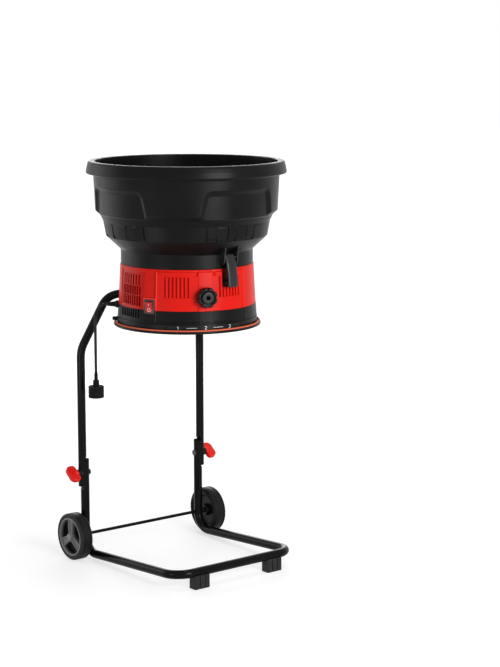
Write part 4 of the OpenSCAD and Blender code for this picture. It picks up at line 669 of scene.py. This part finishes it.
ringSpec = {"section": [(0.1520, 0.5820, 0.0004), (0.1732, 0.5820, 0.0018), (0.1732, 0.5880, 0.0014),
                        (0.1645, 0.5880, 0.0006), (0.1645, 0.6037, 0.0008), (0.1610, 0.6037, 0.0004),
                        (0.1610, 0.5880, 0.0004), (0.1550, 0.5880, 0.0004), (0.1550, 0.6180, 0.0003),
                        (0.1570, 0.6180, 0.0003), (0.1570, 0.6220, 0.0004), (0.1520, 0.6220, 0.0004),
                        (0.1520, 0.5880, 0.0003), (0.1440, 0.5880, 0.0003), (0.1440, 0.5850, 0.0003),
                        (0.1520, 0.5850, 0.0002)],
            "tab": {"angle": -125.0, "face": 0.0, "z": 0.5955, "halfWide": 0.006, "halfHigh": 0.0045,
                    "out": (0.1632, 0.1755)},
            "sealRadius": 0.1695, "sealHeight": 0.5894, "sealSection": 0.0022}
evenTurn = np.linspace(-180, 180, 240, endpoint=False)


def ringSurface(part):
    # the ring's closed section turned round the axis
    line = fillPath(filletPath(part["section"], 4, True), 0.004)
    return looped(turned(evenTurn[None], line[:, :1], line[:, 1:]))


def ringTab(part):
    # a rounded block with three ribs on its outer face
    wide, high, (low, face) = pick(part, "halfWide halfHigh out")
    blocks = [slab(wide, high, 0.0018, low, face, 0.0012, 0.0004)]
    blocks += [slab(0.0006, high - 0.0009, 0.0005, face - 0.0005, face + 0.0006, 0.0004) + np.array([x, 0, 0])
               for x in (-wide / 2, 0.0, wide / 2)]
    return [outwards(grid, part) for grid in blocks]


makePiece("size_ring_body", [ringSurface(ringSpec)] + ringTab(ringSpec["tab"]), blackPlastic, "size_ring",
          ("size_ring",), 35.0)


def sealSurface(part):
    # a soft bead: a circle turned round the axis, pressed a little flat below
    t, section = fullTurn(20)[:, None], part["sealSection"]
    return looped(turned(evenTurn[None], part["sealRadius"] + section * np.cos(t),
                         part["sealHeight"] + np.maximum(section * np.sin(t), -section * 0.8)))


makePiece("edge_seal_bead", [sealSurface(ringSpec)], sealRubber, "size_ring", ("edge_seal",))

label = {"radius": 0.1646, "high": 0.1650, "from": -52.5, "to": 9.5, "z": 0.59585, "half": 0.0050,
         "marks": ((-44.2, "one"), (-21.8, "two"), (-0.8, "three")), "ink": 0.0013, "dash": 0.0122, "dashInk": 0.0009,
         "digit": 1.22, "rise": (0.00005, 0.00022)}


def wrapped(points, radius, angle, height):
    # local (across, up, out) bent round the axis at a radius
    return turned(angle + np.degrees(points[..., 0] / radius), radius + points[..., 2], height + points[..., 1])


def inkStroke(line, width, low, high):
    # a flat ribbon: the line moved half a width to both sides, between two heights
    along = np.gradient(line, axis=0)
    along /= np.linalg.norm(along, axis=1)[:, None]
    off = np.column_stack([-along[:, 1], along[:, 0]]) * width / 2
    sides = [atHeight(line + s * off, h) for s, h in ((1, high), (-1, high), (-1, low), (1, low))]
    return capped(np.stack(sides, axis=1))


def arcLine(x, y, wide, high, start, end, count=12):
    t = np.radians(np.linspace(start, end, count))
    return np.column_stack([x + wide * np.cos(t), y + high * np.sin(t)])


numerals = {"one": [np.array([(-0.0010, 0.0018), (0.0002, 0.0027), (0.0006, 0.0029), (0.0006, 0.0),
                              (0.0006, -0.0029)])],
            "two": [np.concatenate([arcLine(0.0, 0.0013, 0.0017, 0.0016, 165, -35), [
                (-0.0006, -0.0016), (-0.0019, -0.0028), (-0.0002, -0.0029), (0.0020, -0.0029)]])],
            "three": [arcLine(0.0, 0.0014, 0.0016, 0.0015, 155, -90),
                      arcLine(0.0, -0.0014, 0.0018, 0.0015, 90, -155)]}


def labelStrip(part):
    # a thin rectangle carried along an arc round the ring
    length = math.radians(part["to"] - part["from"]) * part["radius"]
    half, thick = part["half"], part["high"] - part["radius"]
    edge = np.array([(-half, 0.0), (half, 0.0), (half, thick), (-half, thick)])
    rows = np.stack([np.column_stack([np.full(4, x), edge]) for x in np.linspace(-length / 2, length / 2, 60)])
    return wrapped(capped(rows), part["radius"], (part["from"] + part["to"]) / 2, part["z"])


def labelInk(part):
    # the numbers and a dash between each pair, bent round the label
    angles = [angle for angle, digit in part["marks"]]
    dash = np.column_stack([np.linspace(-part["dash"], part["dash"], 16), np.zeros(16)])
    strokes = [(angle, line * part["digit"], part["ink"]) for angle, digit in part["marks"] for line in numerals[digit]]
    strokes += [((first + second) / 2, dash, part["dashInk"]) for first, second in zip(angles, angles[1:])]
    return [wrapped(inkStroke(line, width, *part["rise"]), part["high"], angle, part["z"])
            for angle, line, width in strokes]


makePiece("scale_strip", [labelStrip(label)], labelPrint, "size_ring", ("scale_label",))
makePiece("scale_marks", labelInk(label), whiteInk, "size_ring", ())
print("size ring, seal and label made")

latch = {"pinZ": 0.7535, "tipY": 0.1760, "long": 0.067, "over": 0.0075, "thick": 0.0056, "curve": 0.190,
         "half": 0.0136, "hookZ": (0.6945, 0.6995), "hookOut": 0.1760, "hookIn": 0.1535, "endPower": 26, "sidePower": 4}


def latchLever(part):
    # a plate curved on an arc that stands upright at its tip; half its thickness falls to nothing at the ends
    # and sides by a rounded power law
    tip, curve = part["pinZ"] - part["long"], part["curve"]
    t = (1 - np.cos(np.linspace(0, math.pi, 45))) / 2
    s = np.sin(np.linspace(-1, 1, 29) * math.pi / 2)[:, None]
    rise = t * (part["long"] + part["over"])
    slope = np.sqrt(curve ** 2 - rise ** 2)
    thick = part["thick"] / 2 * np.sqrt((1 - np.abs(2 * t - 1) ** part["endPower"])
                                        * (1 - np.abs(s) ** part["sidePower"]))
    faces = [stacked(part["half"] * s, -(part["tipY"] - curve + slope + k * thick * slope / curve),
                     tip + rise + k * thick * rise / curve) for k in (1, -1)]
    plate = np.concatenate([faces[0], faces[1][:, ::-1]], axis=1)
    deep = (part["hookOut"] - part["hookIn"]) / 2
    hook = slab(part["half"] - 0.001, deep, 0.001, *part["hookZ"], 0.0006)
    return [plate, hook - np.array([0.0, part["hookIn"] + deep, 0.0])]


for name, facing in (("front", 1.0), ("rear", -1.0)):
    makePiece(name + "_lever", [grid * np.array([facing, facing, 1.0]) for grid in latchLever(latch)], leverGreyAndEarHighlight,
              name + "_latch", (name + "_latch",), 40.0)
print("latches made")

knobSpec = {"angle": -21.5, "face": 0.16446, "z": 0.666, "lobes": 8, "notch": 0.11, "notchPower": 3.4,
            "notchFrom": (0.0165, 0.0215),
            "section": [(0.0, 0.0), (0.0150, 0.0), (0.0200, 0.0006), (0.0228, 0.0026), (0.0239, 0.0060),
                        (0.0240, 0.0105), (0.0236, 0.0140), (0.0226, 0.0164), (0.0212, 0.0178), (0.0196, 0.0182),
                        (0.0180, 0.0180), (0.0170, 0.0172), (0.0163, 0.0160), (0.0155, 0.0158), (0.0149, 0.0166),
                        (0.0143, 0.0182), (0.0132, 0.0189), (0.0090, 0.0190), (0.0050, 0.0189), (0.0043, 0.0184),
                        (0.0042, 0.0150), (0.0, 0.0148)], "well": (0.00405, 0.0148, 0.0153)}


def knobSurface(part):
    # a turned section whose outer radius dips into a narrow notch between the lobes
    line = fillPath(np.array(part["section"]), 0.0016)
    t = fullTurn(192)[None]
    radius, out = line[:, :1], line[:, 1:]
    notch = (0.5 + 0.5 * np.cos(part["lobes"] * t)) ** part["notchPower"]
    radius = radius * (1 - part["notch"] * notch * ease(radius, *part["notchFrom"]))
    return outwards(stacked(radius * np.cos(t), radius * np.sin(t), out), part)


def knobWellShadeDisc(part):
    # a thin near-black disc on the floor of the knob's hole: painted shade in the hole
    radius, low, high = part["well"]
    return outwards(slab(radius, radius, radius, low, high, 0.0001), part)


makePiece("clamp_knob_grip", [knobSurface(knobSpec)], knobBlack, "clamp_knob", ("clamp_knob",))
# painted shade: a near-black disc on the floor of the knob's hole
makePiece("knob_well", [knobWellShadeDisc(knobSpec)], wellBlack, "clamp_knob", ())

switch = {"angle": -68.0, "face": 0.1643, "z": 0.642, "half": (0.014, 0.0165), "corner": 0.0032, "open": 0.0039,
          "high": 0.0040, "rocker": (0.0098, 0.0123), "pinDepth": 0.0040, "tilt": 10.0, "hollow": 0.050,
          "edges": ((0.0006, 0.009), (0.0, 0.008), (0.0, 0.0012), (0.0003, 0.0004), (0.0010, 0.0)),
          "rockerCorner": 0.0016, "deep": 0.0100, "sunk": 0.0010, "lip": 0.0012,
          "ringMark": (0.0, -0.0062, 0.0033, 0.0041), "barMark": (0.0035, 0.0090), "ink": 0.0013, "inkHigh": 0.0002}


def bezelFrame(part):
    # a closed section carried round a rounded rectangle, given as inset and height
    high, inner, (halfWide, halfHigh), corner = pick(part, "high open half corner")
    deep, sunk, lip = pick(part, "deep sunk lip")
    section = filletPath([(0.0, -sunk, 0.0), (0.0, high, 0.0012), (inner, high - 0.0003, 0.0008), (inner, -deep, 0.0),
                          (inner - lip, -deep, 0.0), (inner - lip, -sunk, 0.0)], 4)
    lines = [roundedRect(halfWide - inset, halfHigh - inset, max(corner - inset, 0.0008), 6) for inset, z in section]
    rows = [atHeight(line, z) for line, (inset, z) in zip(lines, section)]
    return looped(outwards(np.array(rows), part))


def tipped(points, part):
    # local rocker points turned by its tilt about the pin
    c, s = math.cos(math.radians(part["tilt"])), math.sin(math.radians(part["tilt"]))
    x, y, z = points[..., 0], points[..., 1], points[..., 2]
    moved = np.stack([x, y * c - z * s, y * s + z * c + part["high"] - part["pinDepth"]], -1)
    return outwards(moved, part)


def rockerFace(y, part):
    return part["pinDepth"] + y ** 2 / (2 * part["hollow"])


def rockerBody(part):
    # rings of a rounded rectangle shrinking to the middle, lifted by the hollow face
    wide, high = part["rocker"]
    edges = [(roundedRect(wide - inset, high - inset, part["rockerCorner"], 6), drop) for inset, drop in part["edges"]]
    last = edges[-1][0]
    edges += [(last * share, 0.0) for share in np.linspace(0.85, 0.0, 10)]
    rows = [atHeight(line, rockerFace(line[:, 1], part) - drop) for line, drop in edges]
    return tipped(capped(np.array(rows)), part)


def rockerInk(part):
    # a ring and a bar as flat strokes laid on the hollow face
    ringLine = arcLine(*part["ringMark"], 0, 360, 33)
    bar = np.column_stack([np.zeros(8), np.linspace(*part["barMark"], 8)])
    marks = []
    for line in (ringLine, bar):
        flat = inkStroke(line, part["ink"], 0.0, part["inkHigh"])
        flat[..., 2] += rockerFace(flat[..., 1], part)
        marks.append(tipped(flat, part))
    return marks


makePiece("switch_bezel", [bezelFrame(switch)], bezelPlastic, "head", ("switch_body",), 35.0)
makePiece("red_rocker", [rockerBody(switch)], rockerRed, "rocker", ("switch_rocker",))
makePiece("rocker_marks", rockerInk(switch), whiteInk, "rocker", ())
print("knob and switch made")

gland = {"angle": -125.0, "face": 0.0, "z": 0.629, "grooves": (0.1705, 0.1850), "groovePitch": 0.0030,
         "grooveDepth": 0.0010, "section": [(0.0040, 0.1600), (0.0086, 0.1600), (0.0087, 0.1668), (0.0080, 0.1676),
                                            (0.0073, 0.1678), (0.0070, 0.1686), (0.0048, 0.1868), (0.0043, 0.1874),
                                            (0.0034, 0.1874), (0.0033, 0.1600)]}


def glandSurface(part):
    # a tapering nose with ring grooves, its section turned about the radial axis
    line = fillPath(np.array(part["section"]), 0.0004)
    radius, out = line[:, :1], line[:, 1:]
    turns = 2 * math.pi * (out - part["grooves"][0]) / part["groovePitch"]
    rings = inside(out, *part["grooves"], 0.0004) * (0.5 + 0.5 * np.cos(turns)) ** 2
    radius = radius - part["grooveDepth"] * rings * (radius > 0.0042)
    t = fullTurn(48)[None]
    points = stacked(radius * np.cos(t), radius * np.sin(t), out)
    return looped(outwards(points, part))


makePiece("lead_gland", [glandSurface(gland)], leadRubber, "head", ("cord_gland",))

stand = {"postX": 0.171, "postY": 0.188, "radius": 0.0105, "lapLow": 0.1745, "top": 0.2418, "rearZ": 0.013,
         "frontY": -0.1856, "frontZ": 0.038, "bends": (0.040, 0.045, 0.045, 0.040), "flat": 0.0032,
         "armX": 0.1777, "armRadius": 0.010, "armLow": 0.1792, "lapTop": 0.2465, "armBend": 0.511, "armZ": 0.649,
         "armAngle": 136.613, "reach": 0.25869, "knee": 0.1899, "end": 0.1493, "armBends": (0.080, 0.052),
         "straightTop": 0.30}


def baseTube(part):
    # one bent tube: post, side bar, front bar, side bar, post; the laps are pressed flat on their outer side
    x, y, r, top, rearZ, frontY, frontZ = pick(part, "postX postY radius top rearZ frontY frontZ")
    corners = [(-x, y, top), (-x, y, rearZ), (-x, frontY, frontZ), (x, frontY, frontZ), (x, y, rearZ), (x, y, top)]
    points = capped(sweep(bentPath(corners, part["bends"], 0.006), circle(r, 40), (0.0, 1.0, 0.0)))
    limit = x + r - (r - part["flat"]) * ease(points[..., 2], part["lapLow"] - 0.006, part["lapLow"] + 0.002)
    points[..., 0] = np.clip(points[..., 0], -limit, limit)
    return points


def armTube(part, side):
    # one bent tube from the lap up to the housing; the lap is pressed flat towards the post
    a, r = math.radians(part["armAngle"]), part["armRadius"]
    reach, lapTop, armZ = pick(part, "reach lapTop armZ")
    line = [(reach, part["armLow"]), (reach, part["armBend"]), (part["knee"], armZ), (part["end"] - 0.001, armZ)]
    corners = [(s * math.sin(a), -s * math.cos(a), z) for s, z in line]
    points = capped(sweep(bentPath(corners, part["armBends"], 0.006), circle(r, 40), (0.0, 1.0, 0.0)))
    x, z = points[..., 0], points[..., 2]
    least = part["armX"] - r + (r - part["flat"]) * (1 - ease(z, lapTop - 0.002, lapTop + 0.006))
    points[..., 0] = np.where(z < part["straightTop"], np.maximum(x, least), x)
    return points * np.array([side, 1.0, 1.0])


sides = ((-1, "left"), (1, "right"))
makePiece("base_tube", [baseTube(stand)], tubePaint, "base", ("base_loop",), 50.0)
for side, name in sides:
    makePiece(name + "_arm_tube", [armTube(stand, side)], tubePaint, "head", (name + "_arm",), 50.0)
print("tubes made")

wheelSpec = {"inX": 0.186, "y": 0.188, "z": 0.0567, "wide": 0.032, "radius": 0.0567, "bead": 0.0462, "bore": 0.0045,
             "face": 0.0308, "spokeTop": 0.0300, "web": 0.0165, "back": 0.0030, "rimIn": 0.0422, "hub": 0.0130,
             "spokeHalf": 0.0078, "spokes": (90.0, 210.0, 330.0), "lip": (0.0430, 0.0452), "lipRaise": 0.0008,
             "flare": 0.0018, "flareFrom": (0.016, 0.040), "spokeEdge": 0.0011, "ribWide": (0.0030, 0.0018),
             "ribDip": 0.26, "pocket": ((0.0401, 0.0398), (0.0160, 0.0132)), "pocketDepth": 0.0140,
             "groove": ((0.0066, 0.0), (0.0070, 0.0011), (0.0090, 0.0011), (0.0094, 0.0)), "grooveCorner": 0.0003,
             "notchPitch": 15.0, "notchHalf": 0.8, "notchFrom": (0.0110, 0.0150), "notchDepth": 0.0007,
             "edges": (0.0128, 0.0131, 0.0134, 0.0416, 0.0419, 0.0422, 0.0425, 0.0428, 0.0432, 0.0437, 0.0452)}


def onAxle(theta, radius, across, part, side):
    # turned about the axle; across runs outwards from the inner face
    t = np.radians(theta)
    return stacked(side * (part["inX"] + across), part["y"] + radius * np.cos(t), part["z"] + radius * np.sin(t))


def tyreSurface(part, side):
    # rounded tread with two grooves and shoulder notches, its closed section turned about the axle
    w, r, bead = pick(part, "wide radius bead")
    groove = [(x, r - deep, part["grooveCorner"]) for x, deep in part["groove"]]
    grooves = groove + [(w - x, y, corner) for x, y, corner in groove[::-1]]
    line = filletPath([(0.0006, bead, 0.0004), (0.0, r - 0.0045, 0.003), (0.0030, r, 0.0028), *grooves,
                       (w - 0.0030, r, 0.0028), (w, r - 0.0045, 0.0022), (w - 0.0004, r - 0.0062, 0.0003),
                       (w - 0.0010, r - 0.0066, 0.0003), (w - 0.0006, r - 0.0072, 0.0003),
                       (w - 0.0006, bead, 0.0006)], 4, True)
    line = fillPath(line, 0.003)
    theta = np.linspace(0, 360, 240, endpoint=False)[None]
    across, radius = line[:, :1], line[:, 1:]
    notch = np.abs(nearQuarter(theta, part["notchPitch"])) < part["notchHalf"]
    notch = notch * inside(np.abs(across - w / 2), *part["notchFrom"], 0.0012)
    radius = radius - part["notchDepth"] * notch * (radius > r - 0.003)
    return looped(onAxle(theta, radius, across, part, side))


def wheelSurface(part, side):
    # height over the web as a function of radius and angle: rim, hub and three double-ribbed spokes
    bore, bead, web, top, backX = pick(part, "bore bead web spokeTop back")
    radius = gathered([np.linspace(bore, bead, 46), part["edges"]], bore, bead, 5)[:, None]
    theta = np.linspace(0, 360, 360, endpoint=False)[None]
    spoke = 0.0
    for angle in part["spokes"]:
        off = np.radians((theta - angle + 180) % 360 - 180)
        aside = np.abs(radius * np.sin(np.clip(off, -1.5, 1.5))) + (np.abs(off) > 1.5)
        half = part["spokeHalf"] + part["flare"] * ease(radius, *part["flareFrom"])
        dip = 1 - ease(aside, *[half - wide for wide in part["ribWide"]])
        spoke = np.maximum(spoke, (1 - ease(aside, half, half + part["spokeEdge"])) * (1 - part["ribDip"] * dip))
    hub = 1 - ease(radius, part["hub"] - 0.0006, part["hub"] + 0.0004)
    rim = ease(radius, part["rimIn"] - 0.0004, part["rimIn"] + 0.0006)
    rise = np.maximum(web + (top - web) * spoke, web + (top - 0.0014 - web) * hub)
    rise = rise + (part["face"] - rise) * rim + part["lipRaise"] * inside(radius, *part["lip"], 0.0005)
    (outA, outB), (inA, inB) = part["pocket"]
    back = fillPath(np.array([(bead, backX), (outA, backX), (outB, part["pocketDepth"]), (inA, part["pocketDepth"]),
                              (inB, backX), (bore, backX)]), 0.006)
    across = np.concatenate([rise, np.broadcast_to(back[:, 1:], (len(back), theta.size))])
    return looped(onAxle(theta, np.concatenate([radius, back[:, :1]]), across, part, side))


for side, name in sides:
    makePiece(name + "_tyre_tread", [tyreSurface(wheelSpec, side)], tyreRubber, name + "_wheel",
              (name + "_tyre",))
    makePiece(name + "_wheel_face", [wheelSurface(wheelSpec, side)], wheelGrey, name + "_wheel",
              (name + "_wheel",))
print("wheels made")

foot = {"x": 0.107, "halfWide": 0.0215, "y": -0.1856, "halfDeep": 0.0125, "top": 0.0325, "tubeZ": 0.038,
        "tube": 0.01075, "corner": 0.0035, "grooves": (-0.36, 0.36), "grooveDepth": 0.0024,
        "sides": ((0.004, 0.0), (0.0012, 0.0), (0.0003, 0.0004), (0.0, 0.0014), (0.0, 0.016))}


def saddle(part, y):
    # the block's top, hollowed by the tube's underside
    return np.minimum(part["top"], part["tubeZ"] - np.sqrt(np.maximum(part["tube"] ** 2 - y ** 2, 0)))


def footBlock(part, side):
    # a rounded block: grooves dent its outline, and a saddle under the tube hollows its top
    halfWide, halfDeep = part["halfWide"], part["halfDeep"]
    rect = roundedRect(halfWide, halfDeep, part["corner"], 6)
    line = fillPath(np.concatenate([rect, rect[:1]]), 0.0008)[:-1]
    x, y = line.T
    dent = sum(1 - ease(np.abs(x / halfWide - g), 0.035, 0.085) for g in part["grooves"])
    line = np.column_stack([x, y - np.sign(y) * part["grooveDepth"] * dent * (np.abs(y) > halfDeep * 0.9)])

    def shrunk(inset):
        return line * (1 - inset / np.array([halfWide, halfDeep]))
    rows = [atHeight(shrunk(inset), z) for inset, z in part["sides"]]
    tops = [(line, 0.0006), (shrunk(0.0005), 0.0)] + [(line * share, 0.0) for share in np.linspace(0.9, 0.0, 12)]
    rows += [atHeight(flat, saddle(part, flat[:, 1]) - drop) for flat, drop in tops]
    return capped(np.array(rows)) + np.array([side * part["x"], part["y"], 0.0])


makePiece("front_feet_blocks", [footBlock(foot, side) for side, name in sides], footRubber, "base", ("front_feet",),
          32.0)

wing = {"x": 0.1920, "near": 0.0004, "far": 0.0262, "y": 0.188, "z": 0.2105, "halfLong": 0.0222,
        "halfThick": 0.0062, "nearCorner": 0.0080, "farCorner": 0.0190, "tilt": 38.0, "bevel": 0.0026,
        "boss": [(0.0, 0.0), (0.0079, 0.0), (0.0085, 0.0006), (0.00799, 0.0060), (0.00595, 0.0115), (0.0, 0.0120)]}


def wingGrip(part, side):
    # a D-shaped plate, its outline moved inwards along a quarter circle at both faces, on a short round hub
    near, far, half, nearCorner, farCorner = pick(part, "near far halfLong nearCorner farCorner")
    outline = filletPath([(near, -half, nearCorner), (far, -half, farCorner), (far, half, farCorner),
                          (near, half, nearCorner)], 14, True)
    along = np.roll(outline, -1, axis=0) - np.roll(outline, 1, axis=0)
    inward = np.column_stack([-along[:, 1], along[:, 0]]) / np.linalg.norm(along, axis=1)[:, None]
    turn = np.linspace(0, math.pi / 2, 6)
    levels = part["halfThick"] - part["bevel"] * (1 - np.sin(turn))
    insets = part["bevel"] * (1 - np.cos(turn))
    rows = [atHeight(outline + inset * inward, level) for level, inset in
            zip(np.concatenate([-levels[::-1], levels]), np.concatenate([insets[::-1], insets]))]
    plate = capped(np.array(rows))
    t = fullTurn(40)[None]
    line = np.array(part["boss"])
    boss = stacked(line[:, 1:], line[:, :1] * np.cos(t), line[:, :1] * np.sin(t))
    c, s = math.cos(math.radians(part["tilt"])), math.sin(math.radians(part["tilt"]))
    spin = np.array([[1, 0, 0], [0, c, s], [0, -s, c]])
    return [(grid @ spin + np.array(pick(part, "x y z"))) * np.array([side, 1.0, 1.0]) for grid in (plate, boss)]


for side, name in sides:
    makePiece(name + "_wing_grip", wingGrip(wing, side), knobRed, name + "_wing_knob", (name + "_wing_knob",),
              40.0)
print("feet and wing knobs made")

# every CAD node that stays takes the finish of its own slot
ownFinish = {"axle_caps": wheelGrey, "axle": tubePaint, "latch_pins": darkSteel, "post_caps": wellBlack}
slotOf = {item["node"]: item["material_slot"] for item in frame["record"]["subparts"]}
for name, thing in nodes.items():
    finish = ownFinish.get(name, finishes.get(slotOf.get(name), innerPlastic))
    for place in thing.material_slots:
        place.material = finish
    if not thing.material_slots:
        thing.data.materials.append(finish)
print("CAD finishes set")

# soft studio light and a pale floor
studio = {"floor": 30.0, "lift": (0.62, 0.93), "edges": (0.7, 3.2), "worldLevel": 0.22}


def seenRays(tree):
    # 1 for what the camera sees straight, in a reflection or through a clear face, else 0
    rays = tree.nodes.new("ShaderNodeLightPath")
    cameraRay, glossRay, clearRay = [Wire(tree, rays.outputs[name]) for name in
                                     ("Is Camera Ray", "Is Glossy Ray", "Is Transmission Ray")]
    return cameraRay.math("MAXIMUM", cameraRay.math("MAXIMUM", cameraRay, glossRay), clearRay)


floorLine = np.linspace(-studio["floor"] / 2, studio["floor"] / 2, 9)
floorGrid = np.stack(np.meshgrid(floorLine, floorLine, [0.0], indexing="ij"), -1).reshape(9, 9, 3)
floorMesh = bpy.data.meshes.new("pale_floor")
floorMesh.from_pydata(floorGrid.reshape(-1, 3).tolist(), [], gridFaces(9, 9, False).tolist())
floor = bpy.data.objects.new("pale_floor", floorMesh)
bpy.context.scene.collection.objects.link(floor)
floorPaint, floorShader, floorWhere = startMaterial("pale_floor")
# the lift grows away from the object, so that its shadow stays and the far floor is white
distance = floorWhere.node("ShaderNodeVectorMath", {"operation": "LENGTH"}, {0: floorWhere}, 1)
far = distance.remap(*studio["edges"]).blendColours(*[grey(level) for level in studio["lift"]])
feed(floorShader, Base_Color=floorWhere.noise(3.0).blendColours(grey(0.50), grey(0.54)), Roughness=0.8,
     Emission_Color=seenRays(floorPaint.node_tree).blendColours(grey(0.0), far), Emission_Strength=1.0)
floorMesh.materials.append(floorPaint)

world = bpy.data.worlds.new("studio")
bpy.context.scene.world = world
world.use_nodes = True
tree = world.node_tree
back = tree.nodes["Background"]
tree.links.new((seenRays(tree) * (1.0 - studio["worldLevel"]) + studio["worldLevel"]).socket, back.inputs["Strength"])
back.inputs["Color"].default_value = (1.0, 1.0, 1.0, 1.0)

# each lamp: place, aim height, width, height and brightness
lamps = {"key": ((-0.10, -3.0, 1.05), 1.0, 1.2, 1.7, 7.5), "side": ((-1.5, 2.1, 1.0), 0.8, 1.8, 1.6, 1.4),
         "rim": ((-0.10, -2.95, 1.65), 1.0, 1.2, 0.4, 12.0),
         "top": ((0.3, -0.3, 3.4), 0.6, 0.8, 0.8, 10.0), "low": ((-1.6, -0.25, 0.24), 0.15, 0.6, 0.3, 5.0),
         "rear": ((1.7, 2.3, 1.2), 0.8, 1.6, 1.6, 2.6)}
for name, (place, aimZ, wide, high, bright) in lamps.items():
    lamp = bpy.data.lights.new(name + "_lamp", "AREA")
    lamp.shape, lamp.size, lamp.size_y = "RECTANGLE", wide, high
    lamp.energy = bright * math.pi * wide * high
    holder = bpy.data.objects.new(name + "_lamp", lamp)
    holder.location = place
    holder.rotation_euler = (Vector((0.0, 0.0, aimZ)) - Vector(place)).to_track_quat("-Z", "Y").to_euler()
    bpy.context.scene.collection.objects.link(holder)
print("studio set")
